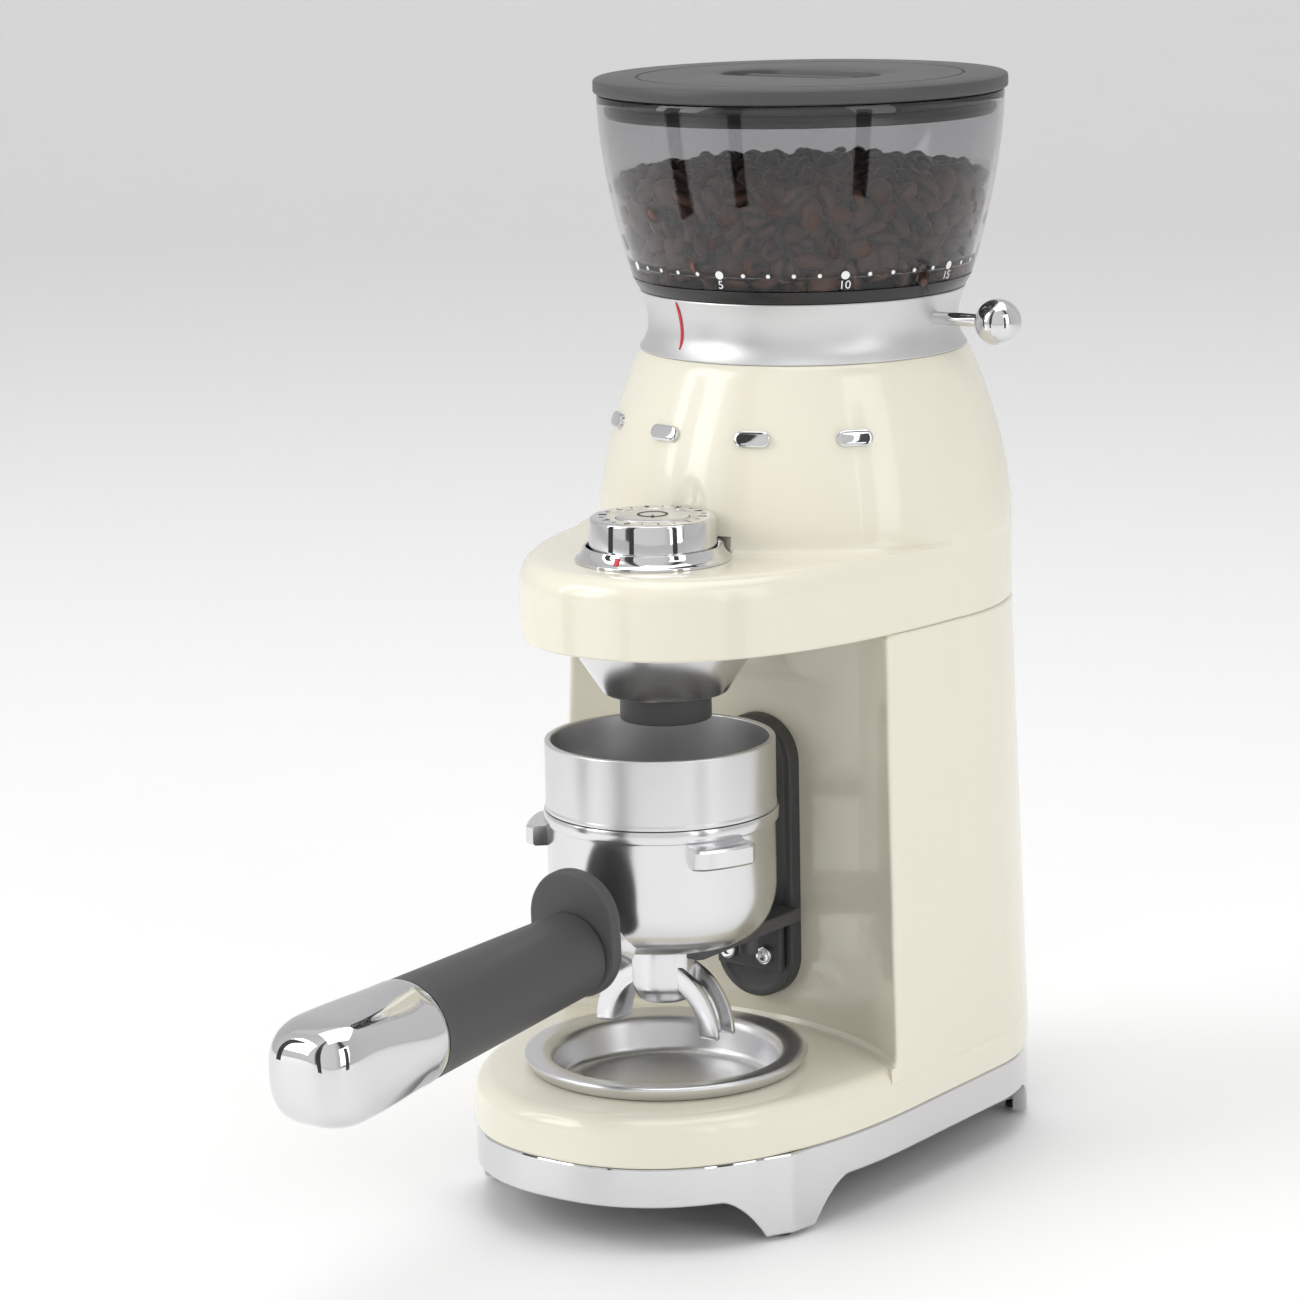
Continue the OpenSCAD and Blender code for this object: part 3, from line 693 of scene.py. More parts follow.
def basket_steel():
    """Steel of the filter basket, with a field of fine holes in its floor painted near-black as the shade
    seen through them.
    """
    found = bpy.data.materials.get("basket_steel")
    if found:
        return found
    material = base_material("basket_steel", (0.62, 0.62, 0.63), 0.22, metallic=1.0, tone=0.05,
                             uneven=0.1, grain=1400.0, bump=0.01)
    nodes = material.node_tree.nodes
    links = material.node_tree.links
    shader = nodes["Principled BSDF"]
    source = shader.inputs["Base Color"].links[0].from_socket
    place = nodes.new("ShaderNodeTexCoord")
    parts = nodes.new("ShaderNodeSeparateXYZ")
    links.new(place.outputs["Object"], parts.inputs[0])
    flat = nodes.new("ShaderNodeCombineXYZ")
    links.new(parts.outputs["X"], flat.inputs["X"])
    links.new(parts.outputs["Y"], flat.inputs["Y"])
    cells = nodes.new("ShaderNodeTexVoronoi")
    cells.inputs["Scale"].default_value = 520.0
    cells.inputs["Randomness"].default_value = 0.0
    links.new(flat.outputs[0], cells.inputs["Vector"])
    hole = maths(nodes, "LESS_THAN", None, 0.22)
    links.new(cells.outputs["Distance"], hole.inputs[0])
    floor = maths(nodes, "LESS_THAN", None, 0.1182)
    links.new(parts.outputs["Z"], floor.inputs[0])
    both = maths(nodes, "MULTIPLY")
    links.new(hole.outputs[0], both.inputs[0])
    links.new(floor.outputs[0], both.inputs[1])
    mix = nodes.new("ShaderNodeMix")
    mix.data_type = "RGBA"
    links.new(both.outputs[0], mix.inputs["Factor"])
    links.new(source, mix.inputs[6])
    # Near-black painted shade in the holes, standing in for the dark seen through them.
    mix.inputs[7].default_value = (0.01, 0.01, 0.01, 1)
    links.new(mix.outputs[2], shader.inputs["Base Color"])
    return material


# ---------------------------------------------------------------- housing

def foot_stations():
    """Distances along the base outline of the four feet's middles."""
    stations, _ = base_stations(1600)
    middles = []
    for x, y in ((62, -111), (-62, -111), (54, 54), (-54, 54)):
        best = min(stations, key=lambda s: math.dist(base_point(s[0], 0), (x, y)))
        middles.append(best[1])
    return middles


def foot_height(gap):
    """Lower edge of the ring at a distance from a foot's middle."""
    if gap < 10.5:
        return 1.5
    if gap < 30.5:
        u = (gap - 10.5) / 20
        return min(1.5 + 15.4 * (1 - (1 - u) ** 2), RING_LOW)
    return RING_LOW


def build_base_ring():
    """Chrome ring around the base, dropping into four flared feet."""
    stations, total = base_stations(720)
    middles = foot_stations()
    rings = [[] for _ in range(10)]
    for u, s in stations:
        gap = min(min(abs(s - m), total - abs(s - m)) for m in middles)
        low = foot_height(gap)
        corner = -max(0.0, 13 - gap) ** 2 / 120
        section = (
            (2.2, low), (0.8, low + 0.15), (0.4, low + 0.7), (0.4, RING_HIGH - 0.7),
            (0.6, RING_HIGH - 0.2), (1.1, RING_HIGH), (4.0, RING_HIGH), (4.0, 22.0),
            (5.8, min(low + 3, 21.0)), (5.8, low))
        for ring, (inset, z) in zip(rings, section):
            x, y = base_point(u, inset + corner)
            ring.append((x, y, z))
    bm = bmesh.new()
    made = loft(bm, rings, False, False)
    first = edge_loop(made[0])
    last = edge_loop(made[-1])
    bmesh.ops.bridge_loops(bm, edges=first + last)
    add_piece("chrome_base_ring", bm, "housing", ["base_ring"], chrome(), 20)


def edge_loop(verts):
    """The edges that join neighbouring vertices of one ring."""
    edges = []
    for a, b in zip(verts, verts[1:] + verts[:1]):
        edges.append(next(e for e in a.link_edges if e.other_vert(a) is b))
    return edges


def deck_rings():
    """Rings of the deck, from its lower edge over the top and into the tray's well."""
    stations, _ = base_stations(360)
    edge = settings().deck_edge / MM
    rings = [[(*base_point(u, 1.4), RING_HIGH + 0.1) for u, _ in stations],
             [(*base_point(u, 0.4), RING_HIGH + 0.3) for u, _ in stations],
             [(*base_point(u, 0.0), RING_HIGH + 1.0) for u, _ in stations]]
    for k in range(9):
        a = math.pi / 2 * k / 8
        inset = edge * (1 - math.cos(a))
        z = DECK_Z - edge + edge * math.sin(a)
        rings.append([(*base_point(u, inset), z) for u, _ in stations])
    aims = []
    for u, _ in stations:
        x, y = base_point(u, 0)
        aims.append(math.atan2(y - BASKET_Y, x))
    for r, z in ((56, DECK_Z), (45.3, DECK_Z), (44.6, DECK_Z - 0.7), (44.5, 37.5)):
        rings.append([(r * math.cos(a), BASKET_Y + r * math.sin(a), z) for a in aims])
    return rings


def corner_angle(share, bay):
    """Direction of the column's front corner at a share of its height."""
    low = math.radians(-60)
    high = math.radians(0)
    for _ in range(30):
        mid = (low + high) / 2
        r = column_reach(mid, share)
        if math.dist((r * math.cos(mid), r * math.sin(mid)), (0, BAY_CENTRE_Y)) < bay:
            low = mid
        else:
            high = mid
    return high


def column_reach(angle, share):
    """Outline of the column between the base (share 0) and the seam (share 1)."""
    return reach(inside_base, angle) * (1 - share) + reach(inside_seam, angle) * share


def column_ring(z, inset=0.0, bay=BAY_RADIUS):
    """One level section of the column, with its hollow front."""
    share = min(max((z - 42.6) / (SEAM_Z - 42.6), 0), 1)
    corner = corner_angle(share, bay)
    points = []
    for angle in steps(corner, math.pi - corner, 110):
        r = column_reach(angle, share) - inset
        points.append((r * math.cos(angle), r * math.sin(angle), z))
    x, y, _ = points[0]
    start = math.atan2(y - BAY_CENTRE_Y, x)
    for angle in steps(math.pi - start, start, 48)[1:-1]:
        points.append((bay * math.cos(angle), BAY_CENTRE_Y + bay * math.sin(angle), z))
    return points


def build_lower_housing():
    """Cream deck and column."""
    bm = bmesh.new()
    loft(bm, deck_rings())
    rings = [column_ring(43, bay=BAY_RADIUS - 2.5), column_ring(48.1, bay=BAY_RADIUS - 2.5),
             column_ring(48.8, bay=BAY_RADIUS - 1.2), column_ring(50.4, bay=BAY_RADIUS - 0.2)]
    rings += [column_ring(z) for z in steps(53, SEAM_Z - 0.9, 14)]
    rings.append(column_ring(SEAM_Z - 0.1, inset=0.7, bay=BAY_RADIUS + 0.7))
    made = loft(bm, rings)
    corners = []
    for low, high in zip(made[2:], made[3:]):
        for k in (0, 110):
            edge = next((e for e in low[k].link_edges if e.other_vert(low[k]) is high[k]), None)
            if edge:
                corners.append(edge)
    bmesh.ops.bevel(bm, geom=corners, offset=2.6, segments=5, affect="EDGES", profile=0.5,
                    material=-1)
    add_piece("cream_lower_housing", bm, "housing", ["lower_housing"],
              cream_enamel(), 24)


def niche_reach(angle, z):
    """Distance to the near wall of the dial's niche, or None outside it."""
    radius = 28.0 if z < SHELF_TOP + NICHE_STEP else 23.1
    if z > NICHE_FADE:
        return None
    side = math.sin(angle + math.pi / 2) * DIAL_Y
    if abs(side) >= radius or math.cos(angle + math.pi / 2) < 0:
        return None
    return -DIAL_Y * math.cos(angle + math.pi / 2) - math.sqrt(radius ** 2 - side ** 2)


def shelf_section(angle):
    """Side profile of the shelf and dome in one direction, as (reach, height) pairs."""
    outer = reach(inside_seam, angle)
    wall = HALF_WIDTH
    gap = max(outer - wall, 0.0)
    edge = settings().shelf_edge / MM
    fillet = 3.5
    open_share = ease(gap / (edge + fillet + 6))
    edge_here = min(edge, gap * 0.62 + 0.01)
    fillet_here = min(fillet, gap * 0.3 + 0.01)
    section = [(outer - 0.7, SEAM_Z + 0.1), (outer, SEAM_Z + 0.9)]
    section += [(outer, z) for z in steps(SEAM_Z + 6, SHELF_TOP - edge - 1, 3)]
    for k in range(9):
        a = math.pi / 2 * k / 8
        shelf = (outer - edge_here * (1 - math.cos(a)), SHELF_TOP - edge_here * (1 - math.sin(a)))
        plain = (outer, SHELF_TOP - edge + (edge - 1) * k / 8)
        section.append(blend(plain, shelf, open_share))
    inner_edge = outer - edge_here
    inner_wall = wall + fillet_here
    for k in range(1, 5):
        f = k / 5
        shelf = (inner_edge * (1 - f) + inner_wall * f, SHELF_TOP)
        plain = (outer * (1 - f) + wall * f, SHELF_TOP - 1 + f)
        section.append(blend(plain, shelf, open_share))
    for k in range(6):
        a = math.pi / 2 * k / 5
        shelf = (wall + fillet_here * (1 - math.sin(a)), SHELF_TOP + fillet_here * (1 - math.cos(a)))
        plain = (wall, SHELF_TOP + 0.1 + fillet * k / 5)
        section.append(blend(plain, shelf, open_share))
    for z in [236.6, 236.9] + steps(238.5, 247.4, 4) + [247.7] + steps(249.5, 292.6, 22):
        section.append((dome_radius(z), z))
    section += [(dome_radius(DOME_TOP) - 0.2, 294.4), (dome_radius(DOME_TOP) - 0.9, DOME_TOP)]
    return section


def blend(a, b, share):
    """A point between two pairs."""
    return a[0] * (1 - share) + b[0] * share, a[1] * (1 - share) + b[1] * share


def build_upper_housing():
    """Cream dome whose front runs out into the shelf."""
    columns = []
    for i in range(400):
        angle = math.tau * i / 400
        columns.append((angle, shelf_section(angle)))
    rings = []
    for k in range(len(columns[0][1])):
        ring = []
        for angle, section in columns:
            r, z = section[k]
            if z > SHELF_TOP + 0.05:
                niche = niche_reach(angle, z)
                if niche is not None:
                    share = ease((z - SHELF_TOP - 16) / (NICHE_FADE - SHELF_TOP - 16))
                    r = min(r, niche * (1 - share) + r * share)
            ring.append((r * math.cos(angle), r * math.sin(angle), z))
        rings.append(ring)
    bm = bmesh.new()
    loft(bm, rings)
    add_piece("cream_upper_housing", bm, "housing", ["upper_housing"],
              cream_enamel(), 24)


def build_collar():
    """Waisted satin collar between the dome and the hopper."""
    profile = [(53.2, DOME_TOP + 0.2), (59.4, DOME_TOP + 0.2)]
    profile += [(collar_radius(z), z) for z in steps(DOME_TOP + 0.7, COLLAR_TOP - 0.4, 24)]
    profile += [(collar_radius(COLLAR_TOP) - 0.4, COLLAR_TOP), (53.2, COLLAR_TOP)]
    bm = bmesh.new()
    lathe(bm, profile, turns=160)
    add_piece("satin_collar", bm, "housing", ["collar"], satin_steel())


def build_collar_index():
    """Red line that the grind scale is read against."""
    bm = bmesh.new()
    middle = math.radians(-106)
    chains = []
    for side in (-1, 1):
        chain = []
        for z in steps(298.6, 315.6, 14):
            taper = 0.25 + 0.75 * ease(min(z - 298.6, 315.9 - z) / 3)
            angle = middle + side * 0.0105 * taper
            r = collar_radius(z) + 0.06
            chain.append(bm.verts.new((r * math.cos(angle), r * math.sin(angle), z)))
        chains.append([bm.edges.new(pair) for pair in zip(chain, chain[1:])])
    bmesh.ops.bridge_loops(bm, edges=chains[0] + chains[1])
    bmesh.ops.recalc_face_normals(bm, faces=bm.faces)
    bmesh.ops.solidify(bm, geom=list(bm.faces), thickness=0.25)
    add_piece("red_collar_index", bm, "housing", ["collar_index"], red_paint())


def build_badge():
    """Four plain raised bars on the dome."""
    bm = bmesh.new()
    for i in range(4):
        turn = Matrix.Rotation(math.radians(-131.5 + 30 * i), 4, "Z")
        place = (Matrix.Translation((dome_radius(BADGE_Z), 0, BADGE_Z))
                 @ Matrix.Rotation(math.radians(73.4), 4, "Y"))
        rings = []
        for inset, height in ((0, -0.7), (0, 0.9), (0.15, 1.25), (0.55, 1.5), (1.2, 1.6)):
            shrunk = stadium(2.9 - inset, 6.6 - inset, 12)
            rings.append([turn @ place @ Vector((x, y, height)) for x, y in shrunk])
        loft(bm, rings)
    add_piece("badge_pills", bm, "housing", ["badge_bars"], chrome())


# ---------------------------------------------------------------- dial and chute

def build_bezel():
    """Flared chrome bezel around the dial, with its red mark."""
    top = SHELF_TOP
    profile = rounded([
        (6.6, top + 0.1), (27.5, top + 0.1, 0.1), (27.5, top + 0.9, 0.3), (26.2, top + 1.7, 1.2),
        (25.1, top + 3.2, 1.5), (24.5, top + 5.2, 0.25), (23.7, top + 5.2, 0.25),
        (23.3, top + 2.0), (6.6, top + 2.0)], 0.3)
    bm = bmesh.new()
    lathe(bm, profile, y=DIAL_Y, turns=144)
    add_piece("chrome_bezel", bm, "housing", ["dial_bezel"], chrome())
    mark = bmesh.new()
    place = Matrix.Translation((0, DIAL_Y, 0)) @ Matrix.Rotation(math.radians(-84), 4, "Z")
    place = place @ Matrix.Translation((25.5, 0, top + 2.9)) @ Matrix.Rotation(math.radians(62), 4, "Y")
    block(mark, (3.0, 2.0, 0.5), place, 0.2)
    add_piece("red_bezel_mark", mark, "housing", [], red_paint())


def build_knob():
    """Chrome dial."""
    profile = rounded([
        (3.4, 228.0), (5.7, 228.0), (5.7, 234.6), (22.5, 234.6, 0.3), (22.6, 236.0, 0.2),
        (22.1, 246.5, 1.3), (14.9, 246.5, 0.15), (14.7, 246.2, 0.1), (13.3, 246.2, 0.1),
        (13.05, 245.9, 0.1), (13.05, 238.0), (3.4, 238.0)], 0.2, 4)
    bm = bmesh.new()
    lathe(bm, profile, y=DIAL_Y, turns=144)
    add_piece("chrome_dial", bm, "dial", ["dial_knob"], chrome())


def build_dial_numbers():
    """Numbers round the dial."""
    bm = bmesh.new()
    for i in range(10):
        angle = math.radians(-84 + 36 * i)
        place = Matrix.Translation((18.0 * math.cos(angle), DIAL_Y + 18.0 * math.sin(angle), 246.52))
        place = place @ Matrix.Rotation(angle + math.pi / 2, 4, "Z")
        add_numeral(bm, str(i), 4.2, 0.1, place)
    for i in range(20):
        angle = math.radians(-66 + 18 * i)
        place = Matrix.Translation((0, DIAL_Y, 0)) @ Matrix.Rotation(angle, 4, "Z")
        if i % 2 == 0:
            block(bm, (1.6, 0.4, 0.1), place @ Matrix.Translation((18.0, 0, 246.52)), 0)
    add_piece("dial_numbers", bm, "dial", [], dark_print())


def build_button():
    """Grey start button with a plain ring and bar on it."""
    profile = rounded([
        (0, 224.4), (3.0, 224.4), (3.0, 240.2), (12.8, 240.2, 0.3), (12.8, 246.5, 0.4),
        (11.6, 246.85, 0.4), (0, 247.0)], 0.2, 4)
    bm = bmesh.new()
    lathe(bm, profile, y=DIAL_Y, turns=120)
    add_piece("start_button_cap", bm, "start", ["start_button"],
              satin_steel((0, DIAL_Y * MM, 0), "satin_steel_dial"))
    mark = bmesh.new()
    lathe(mark, rounded([(4.6, 246.9), (5.5, 246.9), (5.5, 247.08), (4.6, 247.08)], 0.05),
          y=DIAL_Y, turns=64)
    place = Matrix.Translation((0, DIAL_Y, 246.99)) @ Matrix.Rotation(math.radians(-54), 4, "Z")
    block(mark, (4.4, 0.9, 0.18), place @ Matrix.Translation((4.6, 0, 0)), 0.05)
    add_piece("start_button_mark", mark, "start", [], dark_print())


def build_chute():
    """Chrome cone under the shelf and the dark nozzle in it."""
    cone = bmesh.new()
    profile = rounded([
        (16.5, 202.9), (35.0, 202.9, 0.2), (22.9, 184.4, 0.9), (22.0, 183.2, 0.5),
        (16.5, 183.2, 0.3)], 0.2, 4)
    lathe(cone, profile, y=CHUTE_Y, turns=144)
    add_piece("chrome_chute_cone", cone, "housing", ["chute_cone"], soft_chrome())
    nozzle = bmesh.new()
    profile = rounded([
        (13.2, 173.5, 0.4), (16.2, 173.5, 0.6), (16.2, 201.3), (13.2, 201.3)], 0.3, 4)
    lathe(nozzle, profile, y=CHUTE_Y, turns=112)
    add_piece("dark_chute_nozzle", nozzle, "housing", ["chute_nozzle"],
              dark_plastic())


# ---------------------------------------------------------------- fork and tray

def build_fork_pad():
    """Long pad on the column with a raised rim."""
    bm = bmesh.new()
    rings = []
    for inset, y in ((0, -31.4), (0, -36.6), (0.15, -37.0), (0.6, -37.4), (1.1, -37.5), (2.4, -37.5),
                     (3.0, -37.35), (3.5, -36.9), (3.9, -36.7), (8, -36.7)):
        rings.append([(x, y, 111 + z) for x, z in stadium(17 - inset, 53 - inset, 28)])
    loft(bm, rings)
    add_piece("fork_pad", bm, "housing", ["fork_plate"], dark_plastic())


def build_fork_screws():
    """Two socket screws that hold the fork."""
    bm = bmesh.new()
    for x in (-8, 8):
        place = Matrix.Translation((x, -43.6, 76)) @ Matrix.Rotation(math.radians(-90), 4, "X")
        head = rounded([
            (0, 1.0), (1.7, 1.0), (1.7, 0.0, 0.1), (3.3, 0.0, 0.5), (3.3, 2.4), (1.9, 2.4),
            (1.9, 20.0), (0, 20.0)], 0.15)
        lathe(bm, head, turns=36, frame_matrix=place)
    add_piece("fork_screw_pair", bm, "housing", ["fork_screws"], chrome())


def fork_outline():
    """Plan of the fork: two prongs with a round throat."""
    throat = [(13.5 * math.cos(a), -60 + 13.5 * math.sin(a)) for a in steps(0, math.pi, 20)]
    return [(FORK_HALF, -37.7), (FORK_HALF, -99), (19.6, -101), (14.8, -101), (13.5, -99)] + throat + [
        (-13.5, -99), (-14.8, -101), (-19.6, -101), (-FORK_HALF, -99), (-FORK_HALF, -37.7)]


def build_fork():
    """Dark fork that carries the portafilter."""
    bm = bmesh.new()
    outline = fork_outline()
    edges = add_ring(bm, [(x, y, FORK_Z) for x, y in outline])[1]
    face = bmesh.ops.contextual_create(bm, geom=edges)["faces"]
    lifted = bmesh.ops.extrude_face_region(bm, geom=face)["geom"]
    bmesh.ops.translate(bm, vec=(0, 0, FORK_THICK),
                        verts=[v for v in lifted if isinstance(v, bmesh.types.BMVert)])
    rims = [e for e in bm.edges if abs(e.verts[0].co.z - e.verts[1].co.z) < 0.01]
    bmesh.ops.bevel(bm, geom=rims, offset=0.8, segments=3, affect="EDGES", profile=0.5, material=-1)
    for x in (-17.2, 17.2):
        post = rounded([(0, 83.6), (3.5, 83.6, 0.8), (3.5, 90.2), (0, 90.2)], 0.3)
        lathe(bm, post, x=x, y=-66, turns=40)
    block(bm, (28, 3.4, 20), Matrix.Translation((0, -39.3, 80)), 0.9)
    add_piece("portafilter_fork", bm, "housing", ["fork"], dark_plastic(), 35)


def build_tray():
    """Turned crumb tray with a rolled rim."""
    profile = rounded([
        (0, 38.2), (37.6, 38.2), (39.4, 39.6), (41.5, 48.2), (48.2, 48.3), (49.4, 49.8, 0.6),
        (50.6, 51.5, 0.6), (51.0, 52.5, 0.7), (50.2, 53.5, 0.9), (48.2, 53.7, 1.2),
        (43.6, 53.2, 1.6), (41.4, 52.2, 1.3), (40.3, 50.2, 1.0), (38.3, 41.2, 1.4),
        (36.4, 39.6, 1.4), (0, 39.6)], 0.4, 4)
    bm = bmesh.new()
    lathe(bm, profile, y=BASKET_Y, turns=160)
    add_piece("turned_crumb_tray", bm, "tray", ["crumb_tray"],
              satin_steel((0, BASKET_Y * MM, 0), "satin_steel_tray"))


# ---------------------------------------------------------------- portafilter

def build_filter_bowl():
    """Polished bowl with its rim band, three lugs and handle neck."""
    outer = [(27 + 13.5 * math.sin(t), 95.1 + 20 * (1 - math.cos(t))) for t in steps(0, math.pi / 2, 12)]
    inner = [(25 + 12 * math.sin(t), 98.4 + 17 * (1 - math.cos(t))) for t in steps(math.pi / 2, 0, 12)]
    profile = [(0, 95.1)] + outer
    profile += [(40.5, 137.2), (40.7, 137.7), (41.4, 138.1), (41.6, 138.5), (41.6, 141.8),
                (41.3, 142.4), (40.8, 142.5), (35, 142.5), (35, 139), (37, 137)]
    profile += inner + [(0, 98.4)]
    bm = bmesh.new()
    lathe(bm, profile, y=BASKET_Y, turns=160)
    for middle in (-155, -25, 90):
        add_lug(bm, math.radians(middle))
    neck = [(0, -4.5), (12.2, -4.5), (10.4, -2), (9.2, 2), (8.8, 6), (9.0, 10.1), (0, 10.1)]
    lathe(bm, neck, turns=64, frame_matrix=HANDLE_FRAME)
    add_piece("polished_filter_bowl", bm, "portafilter", ["portafilter_bowl"],
              soft_chrome())


def add_lug(bm, middle):
    """One bayonet lug with soft corners."""
    rings = []
    for angle in steps(middle - 0.279, middle + 0.279, 14):
        end = 1 - abs(angle - middle) / 0.279
        out = 47.9 - 2.2 * (1 - ease(end * 4))
        section = [(39, 129.3), (out - 0.8, 129.3), (out, 130.1), (out, 135.6), (out - 0.8, 136.4),
                   (39, 136.4)]
        rings.append([(r * math.cos(angle), BASKET_Y + r * math.sin(angle), z) for r, z in section])
    loft(bm, rings)


def build_basket():
    """Filter basket with a perforated floor."""
    profile = rounded([
        (0, 117.2), (30.4, 117.2, 1.2), (33.5, 140.0), (34.4, 142.7, 0.6), (37.9, 142.7, 0.2),
        (37.9, 143.5, 0.3), (33.9, 143.5, 0.8), (32.7, 140.4), (29.9, 118.1, 1.0), (0, 118.1)], 0.3)
    bm = bmesh.new()
    lathe(bm, profile, y=BASKET_Y, turns=128)
    add_piece("perforated_basket", bm, "portafilter", ["filter_basket"], basket_steel())


def build_dosing_ring():
    """Tall steel ring that funnels the grounds."""
    profile = rounded([
        (38.6, 142.7), (41.0, 142.7, 0.2), (41.0, 143.8, 0.5), (40.8, 144.4, 0.3),
        (40.8, 167.3, 0.7), (38.6, 167.3, 0.7)], 0.3, 4)
    bm = bmesh.new()
    lathe(bm, profile, y=BASKET_Y, turns=160)
    add_piece("steel_dosing_ring", bm, "portafilter", ["dosing_ring"],
              satin_steel((0, BASKET_Y * MM, 0), "satin_steel_ring"))


def build_spout():
    """Twin spout: a short stem over two open channels."""
    bm = bmesh.new()
    stem = rounded([
        (0, 71.8), (9.2, 71.8, 1.6), (11.5, 77.0, 1.6), (11.6, 94.9), (5.2, 94.9), (5.2, 79.2),
        (0, 79.2)], 0.4)
    lathe(bm, stem, y=BASKET_Y, turns=64)
    section = [(18.7, -5.9), (26.4, -5.9), (26.4, -3.7), (21.3, -3.7), (21.3, 3.7), (26.4, 3.7),
               (26.4, 5.9), (18.7, 5.9)]
    verts, edges = add_ring(bm, [(r, BASKET_Y + y, 61) for r, y in section])
    face = bmesh.ops.contextual_create(bm, geom=edges)["faces"]
    before = set(bm.edges)
    bmesh.ops.spin(bm, geom=face, cent=(0, BASKET_Y, 61), axis=(0, -1, 0), angle=math.pi, steps=48)
    rims = [e for e in bm.edges if len(e.link_faces) == 2 and (e in edges or e not in before)
            and e.calc_face_angle(0) > 0.9]
    bmesh.ops.bevel(bm, geom=rims, offset=0.5, segments=2, affect="EDGES", profile=0.5, material=-1)
    add_piece("open_twin_spout", bm, "portafilter", ["twin_spout"], soft_chrome(),
              35)


def build_guard():
    """Dark guard between the bowl and the hand."""
    bm = bmesh.new()
    rings = []
    for inset, t in ((1.6, 10.7), (0.5, 11.1), (0, 12.2), (0, 14.8), (0.5, 16.0), (1.6, 16.5)):
        rings.append([HANDLE_FRAME @ Vector((x, y + 7, t))
                      for x, y in stadium(17.9 - inset, 22.9 - inset, 24)])
    loft(bm, rings)
    add_piece("thumb_guard_plate", bm, "portafilter", ["thumb_guard"],
              dark_plastic())


def build_grip():
    """Tapered dark grip."""
    profile = [(0, 16.9), (14.4, 16.9), (15.2, 17.7)]
    profile += [(15.2 + 3.0 * (t - 18) / 90, t) for t in steps(18.5, CAP_START - 0.4, 16)]
    profile += [(0, CAP_START - 0.25)]
    bm = bmesh.new()
    lathe(bm, profile, turns=96, frame_matrix=HANDLE_FRAME)
    add_piece("tapered_grip", bm, "portafilter", ["handle_grip"], dark_plastic())


def build_handle_cap():
    """Chrome end cap, round at the grip and squarer at its soft end."""
    rings = []
    for t in [CAP_START + 0.05, CAP_START + 0.4] + steps(CAP_START + 2, CAP_CORNER, 12):
        share = ease((t - CAP_START - 4) / (CAP_CORNER - CAP_START - 4))
        radius = 18.2 + 0.5 * ease(t - CAP_START)
        rings.append((radius - 0.5 * share, 2 + 1.1 * share, t))
    for a in steps(0.12, math.pi / 2 - 0.02, 18):
        rings.append((18.2 * math.cos(a) ** 0.5, 3.1 - 0.3 * math.sin(a),
                      CAP_CORNER + 16.6 * math.sin(a)))
    bm = bmesh.new()
    loft(bm, [[HANDLE_FRAME @ Vector((x, y, t)) for x, y in superellipse(r, e)]
              for r, e, t in rings])
    add_piece("chrome_handle_cap", bm, "portafilter", ["handle_cap"], chrome(), 40)


# ---------------------------------------------------------------- hopper, lid, lever

def build_hopper_foot():
    """Black band under the clear hopper."""
    profile = rounded([
        (44, 297.4), (52.8, 297.4, 0.5), (52.8, 316.8), (59.0, 316.8, 0.3),
        (hopper_radius(HOPPER_LOW) - 0.05, 321.3, 0.3), (44, 321.3)], 0.2)
    bm = bmesh.new()
    lathe(bm, profile, turns=160)
    add_piece("black_hopper_foot", bm, "hopper", ["hopper_foot"], black_plastic())


def build_hopper():
    """Clear hopper with a funnel floor."""
    profile = [(hopper_radius(z), z) for z in steps(HOPPER_LOW + 0.1, HOPPER_HIGH - 0.5, 22)]
    profile += [(hopper_radius(HOPPER_HIGH) - 0.5, HOPPER_HIGH - 0.05),
                (hopper_radius(HOPPER_HIGH) - 1.4, HOPPER_HIGH - 0.05)]
    profile += [(hopper_radius(z) - 1.8, z) for z in steps(HOPPER_HIGH - 0.6, HOPPER_LOW + 5, 22)]
    profile += [(56, HOPPER_LOW + 2.6), (52, HOPPER_LOW + 2), (44, HOPPER_LOW + 1.4), (26, 308.6),
                (26, 306.7), (28, 306.7), (43.9, 319.5), (43.9, HOPPER_LOW + 0.1)]
    bm = bmesh.new()
    lathe(bm, profile, turns=160)
    add_piece("clear_hopper", bm, "hopper", ["hopper_bowl"], smoke_clear(), 60)


def hopper_skin(angle, z, lift):
    """Frame on the hopper's outer face: X round it, Y up it and Z outward."""
    r = hopper_radius(z) + lift
    slope = math.atan2(hopper_radius(z + 0.5) - hopper_radius(z - 0.5), 1.0)
    place = Matrix.Rotation(angle, 4, "Z") @ Matrix.Translation((r, 0, z))
    return place @ Matrix.Rotation(math.pi / 2 + slope, 4, "Y") @ Matrix.Rotation(math.pi / 2, 4, "Z")


def build_grind_scale():
    """Dots and numbers of the grind scale, printed round the hopper."""
    bm = bmesh.new()
    for setting in range(31):
        angle = math.radians(-124.5 + 8.2 * setting)
        large = setting % 5 == 0
        radius = 1.55 if large else 0.75
        made = bmesh.ops.create_cone(
            bm, cap_ends=True, segments=20, radius1=radius, radius2=radius, depth=0.12)["verts"]
        bmesh.ops.transform(bm, matrix=hopper_skin(angle, 327.2, 0.05), verts=made)
        if large and setting:
            add_numeral(bm, str(setting), 4.4, 0.1, hopper_skin(angle, 323.6, 0.06))
    add_piece("grind_scale_print", bm, "hopper", [], white_print())


